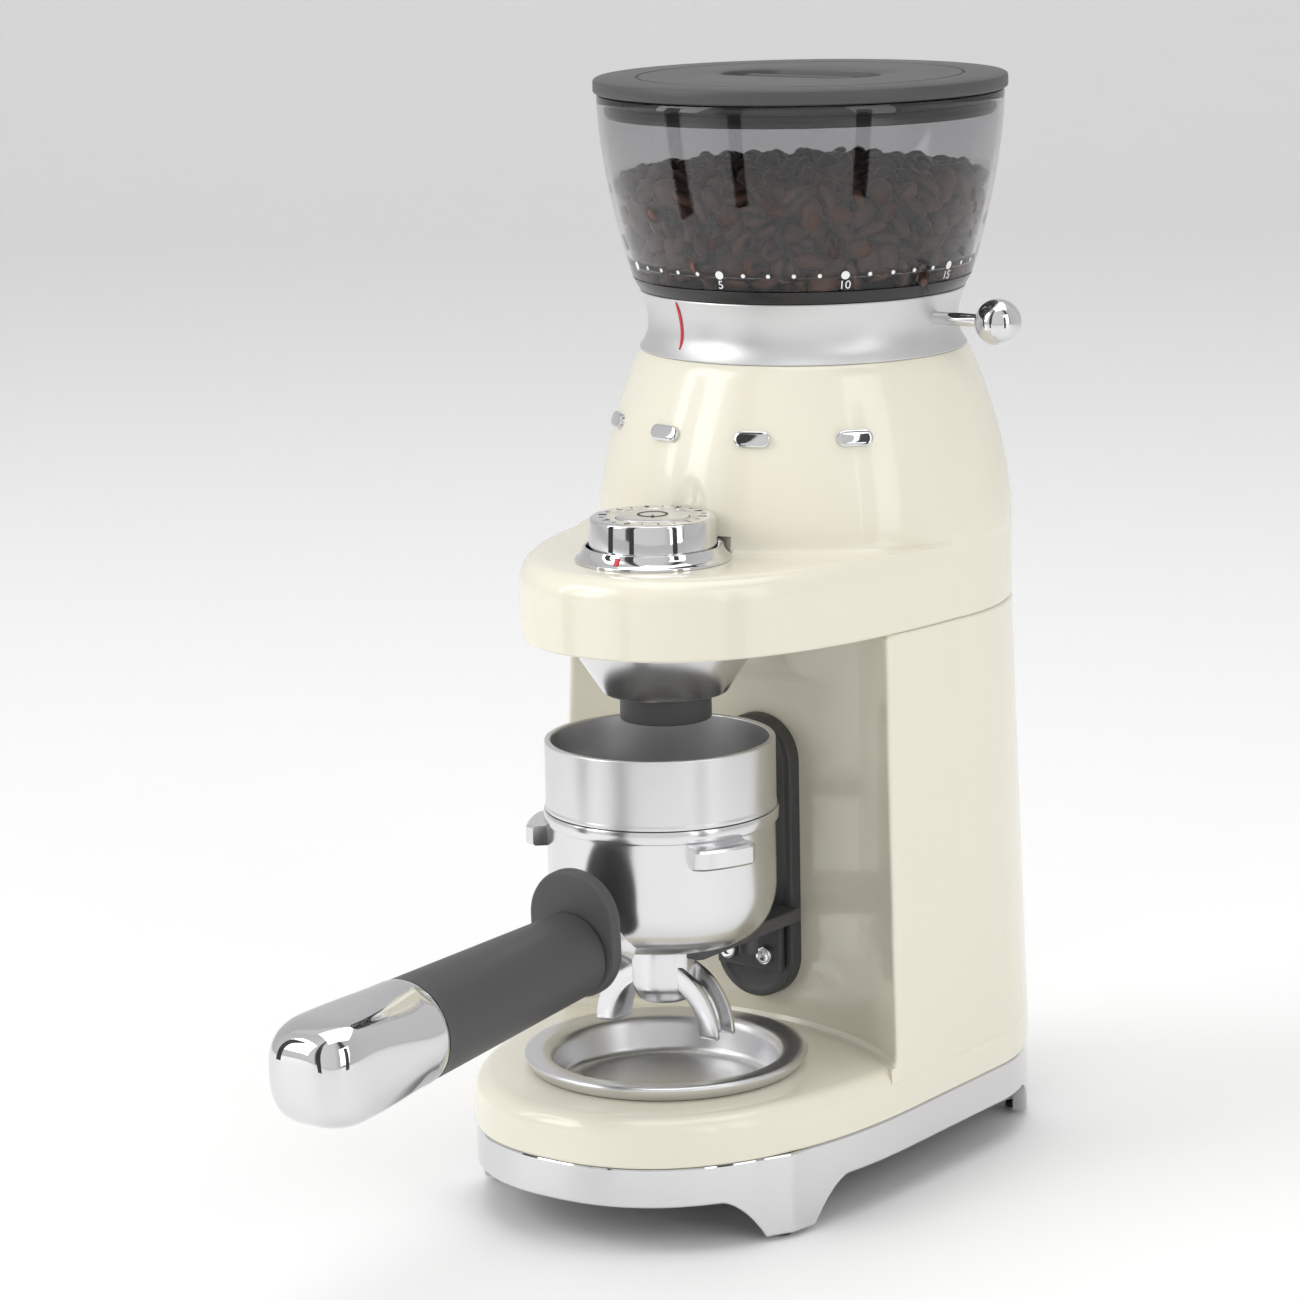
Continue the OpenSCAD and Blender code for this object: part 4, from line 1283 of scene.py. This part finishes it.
def bean_template():
    """One roasted bean of unit size: round back, flat face and a pushed-in crease whose points are marked
    for painted shade.
    """
    bm = bmesh.new()
    painted_shade = bm.verts.layers.float.new("painted_shade")
    bm.verts.layers.float.new("tone")
    bmesh.ops.create_uvsphere(bm, u_segments=12, v_segments=8, radius=1.0)
    for v in bm.verts:
        if v.co.z < 0:
            v.co.z *= 0.45
            if abs(v.co.y) < 0.22 and v.co.z < -0.2:
                v.co.z += 0.26
                # Mark this crease point for painted shade.
                v[painted_shade] = 1.0
    mesh = bpy.data.meshes.new("bean")
    bm.to_mesh(mesh)
    bm.free()
    return mesh


def add_bean(bm, template, length, place, rng):
    """Adds one bean with its own size, turn and tone."""
    size = length / 2 * rng.uniform(0.88, 1.08)
    shape = Matrix.Diagonal((size, size * rng.uniform(0.72, 0.80), size * 0.66, 1.0))
    bean = template.copy()
    bean.transform(place @ random_turn(rng) @ shape)
    tone = rng.uniform(0.65, 1.5)
    bean.attributes["tone"].data.foreach_set("value", [tone] * len(bean.vertices))
    bm.from_mesh(bean)
    bpy.data.meshes.remove(bean)


def random_turn(rng):
    """Any turn in space."""
    return (Matrix.Rotation(rng.uniform(0, math.tau), 4, "Z")
            @ Matrix.Rotation(math.acos(rng.uniform(-1, 1)), 4, "X")
            @ Matrix.Rotation(rng.uniform(0, math.tau), 4, "Z"))


def bean_top(r):
    """Height of the heap's surface at a distance from the axis."""
    return 360.5 - 5.5 * (r / 66) ** 2


def build_beans():
    """Heap of separate beans against the hopper's wall and over the top, round a plain core that is painted
    near-black as the shade deep between the beans.
    """
    bm = bmesh.new()
    painted_shade_layer = bm.verts.layers.float.new("painted_shade")
    tone_layer = bm.verts.layers.float.new("tone")
    template = bean_template()
    rng = random.Random(11)
    length = settings().bean_length / MM
    z = 325.6
    row = 0
    while z < 355:
        r = hopper_radius(z) - 6.2
        count = int(math.tau * r / (length * 0.80))
        for i in range(count):
            angle = math.tau * (i + 0.5 * (row % 2) + rng.uniform(-0.2, 0.2)) / count
            rr = r + rng.uniform(-1.2, 0.5)
            zz = z + rng.uniform(-1.1, 1.1)
            place = Matrix.Translation((rr * math.cos(angle), rr * math.sin(angle), zz))
            add_bean(bm, template, length, place, rng)
        z += 5.8
        row += 1
    for ring in range(9):
        r = 3.0 + ring * 7.0
        count = max(1, int(math.tau * r / (length * 0.74)))
        for i in range(count):
            angle = math.tau * (i + rng.uniform(-0.25, 0.25)) / count
            rr = r + rng.uniform(-1.5, 1.5)
            zz = bean_top(rr) - 2.5 + rng.uniform(-1.5, 2.2)
            place = Matrix.Translation((rr * math.cos(angle), rr * math.sin(angle), zz))
            add_bean(bm, template, length, place, rng)
    core = [(0, 310.5), (25, 310.5), (41, 325.0)]
    core += [(hopper_radius(z) - 8.0, z) for z in steps(326, 350, 5)]
    core += [(50, 353.5), (0, 356)]
    bpy.data.meshes.remove(template)
    new = lathe(bm, core, turns=48)
    # Paint the core with the near-black painted shade and a darker tone, standing in for the shade deep
    # between the beans.
    for v in new:
        v[painted_shade_layer] = 1.0
        v[tone_layer] = 0.6
    add_piece("bean_heap", bm, "hopper", ["bean_charge"], bean_surface(), 60)


def build_lid():
    """Dark lid with a shallow grip recess crossed by a bar, and a skirt."""
    top = HOPPER_HIGH + 5.6
    low = HOPPER_HIGH + 0.2
    bm = bmesh.new()
    profile = [(66, 379.1), (66.3, 379.0), (69.7, 379.0), (70, 379.4), (70, 380.6), (69.1, 380.7),
               (69.1, 383.2), (70, 383.3), (70, low), (73.6, low), (74.3, low + 0.4),
               (74.6, low + 1.0), (74.6, top - 1.3), (74.3, top - 0.6), (73.5, top - 0.15),
               (59.4, top), (59.1, top - 0.7), (58.4, top - 0.7), (58.1, top), (40, top)]
    stations = 160
    rings = []
    for r, z in profile:
        rings.append([(r * math.cos(a), r * math.sin(a), z)
                      for a in (math.tau * i / stations for i in range(stations))])
    for inset, z in ((-0.6, top), (0, top - 0.25), (0.35, top - 0.9), (0.6, top - 2.6), (1.6, top - 3.4),
                     (6, top - 3.5)):
        rings.append(aimed_stadium(32 - inset, 15 - inset, z, stations))
    verts = loft(bm, rings, False, True)
    back = add_ring(bm, [(66 * math.cos(a), 66 * math.sin(a), low)
                         for a in (math.tau * i / stations for i in range(stations))])
    bmesh.ops.bridge_loops(bm, edges=edge_loop(verts[0]) + back[1])
    bmesh.ops.contextual_create(bm, geom=back[1])
    block(bm, (45, 4.2, 3.2), Matrix.Translation((0, 0, top - 2.2)), 1.0)
    add_piece("dark_lid", bm, "lid", ["lid_cap"], dark_plastic(), 35)


def aimed_stadium(half_x, half_y, z, count):
    """A round-ended outline, long in X, with its points at even angles about the middle."""
    points = []
    straight = half_x - half_y
    for i in range(count):
        a = math.tau * i / count
        c = abs(math.cos(a))
        s = abs(math.sin(a))
        r = half_y / s if s > 1e-6 else 1e9
        if r * c > straight:
            under = half_y ** 2 - (straight * s) ** 2
            r = straight * c + math.sqrt(max(under, 0.0))
        points.append((r * math.cos(a), r * math.sin(a), z))
    return points


def build_lever():
    """Chrome rod and ball that free the hopper."""
    axis = Matrix.Translation((47, 0, LEVER_Z)) @ Matrix.Rotation(math.radians(90), 4, "Y")
    rod = bmesh.new()
    lathe(rod, rounded([(0, 0), (2.33, 0, 0.4), (2.33, 27.6), (0, 27.6)], 0.3), turns=40,
          frame_matrix=axis)
    add_piece("chrome_lever_rod", rod, "lever", ["lever_rod"], chrome())
    ball = bmesh.new()
    profile = [(0, 27.4), (2.6, 27.4)]
    profile += [(8.28 * math.sin(a), 35.6 - 8.28 * math.cos(a)) for a in steps(0.36, math.pi - 0.02, 36)]
    profile += [(0, 43.88)]
    lathe(ball, profile, turns=72, frame_matrix=axis)
    add_piece("chrome_lever_ball", ball, "lever", ["lever_ball"], chrome(), 60)


# ---------------------------------------------------------------- carried-over parts

def slot_materials():
    """A surface for each of the frame's own slots."""
    return {
        "cream_paint": cream_enamel(),
        "chrome": chrome(),
        "satin_steel": satin_steel(),
        "dark_plastic": dark_plastic(),
        "clear_smoke": smoke_clear(),
        "black_plastic": black_plastic(),
        "rubber": rubber(),
        "red_mark": red_paint(),
        "bean": base_material("bean_bulk", (0.05, 0.02, 0.012), 0.5, tone=0.5, bump=0.3),
        "steel": base_material("machined_steel", (0.55, 0.55, 0.56), 0.3, metallic=1.0, tone=0.1,
                               uneven=0.15, grain=1500.0, bump=0.05, wear=0.4,
                               wear_colour=(0.75, 0.75, 0.76)),
        "burr_steel": base_material("hardened_steel", (0.36, 0.36, 0.38), 0.34, metallic=1.0,
                                    tone=0.15, uneven=0.15, grain=1800.0, bump=0.08, wear=0.6,
                                    wear_colour=(0.7, 0.7, 0.7)),
        "nylon": base_material("cast_nylon", (0.72, 0.69, 0.60), 0.45, tone=0.08, uneven=0.1,
                               grain=1200.0, bump=0.06),
        "winding": base_material("copper_winding", (0.50, 0.20, 0.07), 0.38, metallic=0.9,
                                 tone=0.3, uneven=0.2, grain=2500.0, bump=0.3),
        "board": base_material("circuit_board", (0.02, 0.13, 0.05), 0.42, tone=0.25, uneven=0.15,
                               grain=1800.0, bump=0.12),
        "aluminium": base_material("cast_aluminium", (0.60, 0.60, 0.61), 0.42, metallic=1.0,
                                   tone=0.12, uneven=0.15, grain=1600.0, bump=0.15, wear=0.4,
                                   wear_colour=(0.8, 0.8, 0.8)),
    }


def dress_frame_nodes():
    """Gives each CAD node that still shows the surface of its slot."""
    surfaces = slot_materials()
    for part in frame["record"]["subparts"]:
        node = frame["nodes"][part["node"]]
        if node.hide_render:
            continue
        node.data.materials.clear()
        node.data.materials.append(surfaces[part["material_slot"]])


# ---------------------------------------------------------------- stage

def build_floor():
    """Plain pale floor that curves up far behind."""
    bm = bmesh.new()
    profile = [(-6.0, 0.0), (3.0, 0.0)]
    profile += [(3.0 + 1.5 * math.sin(a), 1.5 - 1.5 * math.cos(a)) for a in steps(0.15, math.pi / 2, 10)]
    profile += [(4.5, 7.0)]
    chain = [bm.verts.new((-7.0, y, z - 0.0004)) for y, z in profile]
    edges = [bm.edges.new(pair) for pair in zip(chain, chain[1:])]
    swept = bmesh.ops.extrude_edge_only(bm, edges=edges)["geom"]
    bmesh.ops.translate(bm, vec=(14.0, 0, 0), verts=[v for v in swept if isinstance(v, bmesh.types.BMVert)])
    bmesh.ops.rotate(bm, cent=(0, 0, 0), matrix=Matrix.Rotation(math.radians(35.9), 3, "Z"), verts=bm.verts)
    bmesh.ops.recalc_face_normals(bm, faces=bm.faces)
    mesh = bpy.data.meshes.new("floor")
    bm.to_mesh(mesh)
    bm.free()
    mesh.shade_smooth()
    mesh.materials.append(base_material("pale_floor", (0.93, 0.93, 0.93), 0.6, tone=0.01,
                                        uneven=0.05, grain=60.0, bump=0.01))
    floor = bpy.data.objects.new("floor", mesh)
    bpy.context.scene.collection.objects.link(floor)
    floor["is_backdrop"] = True


def add_area_light(name, place, target, size, power, colour=(1, 1, 1)):
    """One soft rectangular light aimed at a point."""
    light = bpy.data.lights.new(name, "AREA")
    light.shape = "RECTANGLE"
    light.size = size[0]
    light.size_y = size[1]
    light.energy = power
    light.color = colour
    obj = bpy.data.objects.new(name, light)
    aim = Vector(target) - Vector(place)
    obj.matrix_world = Matrix.Translation(place) @ aim.to_track_quat("-Z", "Y").to_matrix().to_4x4()
    bpy.context.scene.collection.objects.link(obj)
    obj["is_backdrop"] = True


def build_lights():
    """Large soft lights left, right and above."""
    key = settings().key_power
    add_area_light("key_left", (-1.3, -1.6, 1.3), (0, -0.05, 0.18), (1.2, 1.6), key)
    add_area_light("fill_right", (1.9, -0.5, 0.9), (0, -0.05, 0.2), (0.9, 1.6), key * 0.45)
    add_area_light("top_soft", (0.1, 0.1, 2.2), (0, -0.05, 0.2), (1.8, 1.8), key * 0.8)


def build_world():
    """Even studio surround: bright, with a few soft darker stretches for metal to mirror."""
    world = bpy.data.worlds.new("studio")
    bpy.context.scene.world = world
    world.use_nodes = True
    nodes = world.node_tree.nodes
    links = world.node_tree.links
    back = nodes["Background"]
    place = nodes.new("ShaderNodeTexCoord")
    parts = nodes.new("ShaderNodeSeparateXYZ")
    links.new(place.outputs["Generated"], parts.inputs[0])
    turn = maths(nodes, "ARCTAN2")
    links.new(parts.outputs["Y"], turn.inputs[0])
    links.new(parts.outputs["X"], turn.inputs[1])
    share = nodes.new("ShaderNodeMapRange")
    share.inputs["From Min"].default_value = -math.pi
    share.inputs["From Max"].default_value = math.pi
    links.new(turn.outputs[0], share.inputs["Value"])
    ramp = nodes.new("ShaderNodeValToRGB")
    stops = ((0.0, 0.75), (0.17, 0.9), (0.205, 0.9), (0.215, 0.12), (0.245, 0.12), (0.255, 0.95),
             (0.40, 0.9), (0.455, 0.55), (0.465, 0.10), (0.50, 0.10), (0.51, 0.7), (0.75, 0.85))
    while len(ramp.color_ramp.elements) > 1:
        ramp.color_ramp.elements.remove(ramp.color_ramp.elements[-1])
    ramp.color_ramp.elements[0].position = stops[0][0]
    ramp.color_ramp.elements[0].color = (stops[0][1], stops[0][1], stops[0][1], 1)
    for where, value in stops[1:]:
        stop = ramp.color_ramp.elements.new(where)
        stop.color = (value, value, value, 1)
    links.new(share.outputs["Result"], ramp.inputs["Fac"])
    links.new(ramp.outputs["Color"], back.inputs["Color"])
    back.inputs["Strength"].default_value = 0.88


def build_dark_cards():
    """Narrow dark cards that give bright metal its edges; only reflections see them."""
    for turn, reach_out, width in ((-92, 0.75, 0.10), (-22, 0.8, 0.12), (-130, 0.8, 0.14)):
        bm = bmesh.new()
        bmesh.ops.create_grid(bm, x_segments=1, y_segments=1, size=0.5)
        place = (Matrix.Rotation(math.radians(turn), 4, "Z") @ Matrix.Translation((reach_out, 0, 0.35))
                 @ Matrix.Rotation(math.radians(90), 4, "Y") @ Matrix.Diagonal((0.7, width, 1, 1)))
        bmesh.ops.transform(bm, matrix=place, verts=bm.verts)
        mesh = bpy.data.meshes.new("dark_card")
        bm.to_mesh(mesh)
        bm.free()
        mesh.materials.append(rubber())
        card = bpy.data.objects.new("dark_card", mesh)
        bpy.context.scene.collection.objects.link(card)
        card.visible_camera = False
        card.visible_shadow = False
        card.visible_diffuse = False
        card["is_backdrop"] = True


def build_camera():
    """Camera from the front right, a little above the hopper."""
    turn = math.radians(35.9)
    dip = math.radians(11.77)
    roll = math.radians(-1.16)
    side = Vector((math.cos(turn), math.sin(turn), 0))
    ahead = Vector((-math.sin(turn), math.cos(turn), 0))
    look = ahead * math.cos(dip) - Vector((0, 0, 1)) * math.sin(dip)
    rise = ahead * math.sin(dip) + Vector((0, 0, 1)) * math.cos(dip)
    right = side * math.cos(roll) + rise * math.sin(roll)
    up = rise * math.cos(roll) - side * math.sin(roll)
    data = bpy.data.cameras.new("camera")
    data.lens = 121.18
    data.sensor_width = 36.0
    data.clip_start = 0.05
    data.clip_end = 50.0
    camera = bpy.data.objects.new("camera", data)
    place = Matrix((right, up, -look)).transposed().to_4x4()
    camera.matrix_world = Matrix.Translation((0.8794, -1.3137, 0.5116)) @ place
    bpy.context.scene.collection.objects.link(camera)
    bpy.context.scene.camera = camera
    bpy.context.scene.view_settings.view_transform = "Standard"


# ---------------------------------------------------------------- operators

class GrinderOperator:
    """Shared part of the building operators."""

    bl_options = {"REGISTER", "UNDO"}
    steps_to_run = ()

    def execute(self, context):
        for step in self.steps_to_run:
            step()
        return {"FINISHED"}


class GRINDER_OT_base(GrinderOperator, bpy.types.Operator):
    """Build the chrome base ring and its feet"""

    bl_idname = "grinder.base"
    bl_label = "Base ring"
    steps_to_run = (build_base_ring,)


class GRINDER_OT_lower(GrinderOperator, bpy.types.Operator):
    """Build the deck and the column"""

    bl_idname = "grinder.lower_housing"
    bl_label = "Lower housing"
    steps_to_run = (build_lower_housing,)


class GRINDER_OT_upper(GrinderOperator, bpy.types.Operator):
    """Build the dome with its shelf"""

    bl_idname = "grinder.upper_housing"
    bl_label = "Upper housing"
    steps_to_run = (build_upper_housing,)


class GRINDER_OT_collar(GrinderOperator, bpy.types.Operator):
    """Build the collar, its index and the raised bars"""

    bl_idname = "grinder.collar"
    bl_label = "Collar and bars"
    steps_to_run = (build_collar, build_collar_index, build_badge)


class GRINDER_OT_dial(GrinderOperator, bpy.types.Operator):
    """Build the dial, its bezel and the start button"""

    bl_idname = "grinder.dial"
    bl_label = "Dial"
    steps_to_run = (build_bezel, build_knob, build_dial_numbers, build_button)


class GRINDER_OT_chute(GrinderOperator, bpy.types.Operator):
    """Build the chute cone and nozzle"""

    bl_idname = "grinder.chute"
    bl_label = "Chute"
    steps_to_run = (build_chute,)


class GRINDER_OT_fork(GrinderOperator, bpy.types.Operator):
    """Build the fork, its pad and screws"""

    bl_idname = "grinder.fork"
    bl_label = "Fork"
    steps_to_run = (build_fork_pad, build_fork_screws, build_fork)


class GRINDER_OT_tray(GrinderOperator, bpy.types.Operator):
    """Build the crumb tray"""

    bl_idname = "grinder.tray"
    bl_label = "Crumb tray"
    steps_to_run = (build_tray,)


class GRINDER_OT_portafilter(GrinderOperator, bpy.types.Operator):
    """Build the portafilter's metal parts"""

    bl_idname = "grinder.portafilter"
    bl_label = "Portafilter"
    steps_to_run = (build_filter_bowl, build_basket, build_dosing_ring, build_spout)


class GRINDER_OT_handle(GrinderOperator, bpy.types.Operator):
    """Build the portafilter's handle"""

    bl_idname = "grinder.handle"
    bl_label = "Handle"
    steps_to_run = (build_guard, build_grip, build_handle_cap)


class GRINDER_OT_hopper(GrinderOperator, bpy.types.Operator):
    """Build the hopper with its foot and scale"""

    bl_idname = "grinder.hopper"
    bl_label = "Hopper"
    steps_to_run = (build_hopper_foot, build_hopper, build_grind_scale)


class GRINDER_OT_beans(GrinderOperator, bpy.types.Operator):
    """Fill the hopper with beans"""

    bl_idname = "grinder.beans"
    bl_label = "Beans"
    steps_to_run = (build_beans,)


class GRINDER_OT_lid(GrinderOperator, bpy.types.Operator):
    """Build the lid"""

    bl_idname = "grinder.lid"
    bl_label = "Lid"
    steps_to_run = (build_lid,)


class GRINDER_OT_lever(GrinderOperator, bpy.types.Operator):
    """Build the lever"""

    bl_idname = "grinder.lever"
    bl_label = "Lever"
    steps_to_run = (build_lever,)


class GRINDER_OT_dress(GrinderOperator, bpy.types.Operator):
    """Give the remaining frame parts their surfaces"""

    bl_idname = "grinder.dress"
    bl_label = "Inner parts"
    steps_to_run = (dress_frame_nodes,)


class GRINDER_OT_stage(GrinderOperator, bpy.types.Operator):
    """Set up the floor, lights, surround and camera"""

    bl_idname = "grinder.stage"
    bl_label = "Stage"
    steps_to_run = (build_floor, build_lights, build_dark_cards, build_world, build_camera)


OPERATORS = (
    GRINDER_OT_base, GRINDER_OT_lower, GRINDER_OT_upper, GRINDER_OT_collar, GRINDER_OT_dial,
    GRINDER_OT_chute, GRINDER_OT_fork, GRINDER_OT_tray, GRINDER_OT_portafilter,
    GRINDER_OT_handle, GRINDER_OT_hopper, GRINDER_OT_beans, GRINDER_OT_lid, GRINDER_OT_lever,
    GRINDER_OT_dress, GRINDER_OT_stage)


class GRINDER_PT_panel(bpy.types.Panel):
    """Lists the settings and the building steps"""

    bl_idname = "GRINDER_PT_panel"
    bl_label = "Grinder"
    bl_space_type = "VIEW_3D"
    bl_region_type = "UI"
    bl_category = "Grinder"

    def draw(self, context):
        layout = self.layout
        for name in ("body_colour", "trim_colour", "bean_colour", "bean_length", "deck_edge",
                     "shelf_edge", "key_power"):
            layout.prop(context.scene.grinder, name)
        for operator in OPERATORS:
            layout.operator(operator.bl_idname)


def register():
    """Registers the settings, operators and panel."""
    bpy.utils.register_class(GrinderSettings)
    bpy.types.Scene.grinder = bpy.props.PointerProperty(type=GrinderSettings)
    for operator in OPERATORS:
        bpy.utils.register_class(operator)
    bpy.utils.register_class(GRINDER_PT_panel)


def unregister():
    """Removes what register added."""
    bpy.utils.unregister_class(GRINDER_PT_panel)
    for operator in reversed(OPERATORS):
        bpy.utils.unregister_class(operator)
    del bpy.types.Scene.grinder
    bpy.utils.unregister_class(GrinderSettings)


def plain(value):
    """The same bounds as nested lists of numbers."""
    if isinstance(value, dict):
        return {key: plain(item) for key, item in value.items()}
    if isinstance(value, (int, float)):
        return float(value)
    return [plain(item) for item in value]


def main():
    """Builds everything."""
    sizes = {"frame": plain(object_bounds())}
    register()
    for operator in OPERATORS:
        module, name = operator.bl_idname.split(".")
        result = getattr(getattr(bpy.ops, module), name)()
        if result != {"FINISHED"}:
            raise RuntimeError(f"{operator.bl_idname} did not finish")
    sizes["finished"] = plain(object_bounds())


if __name__ == "__main__":
    main()
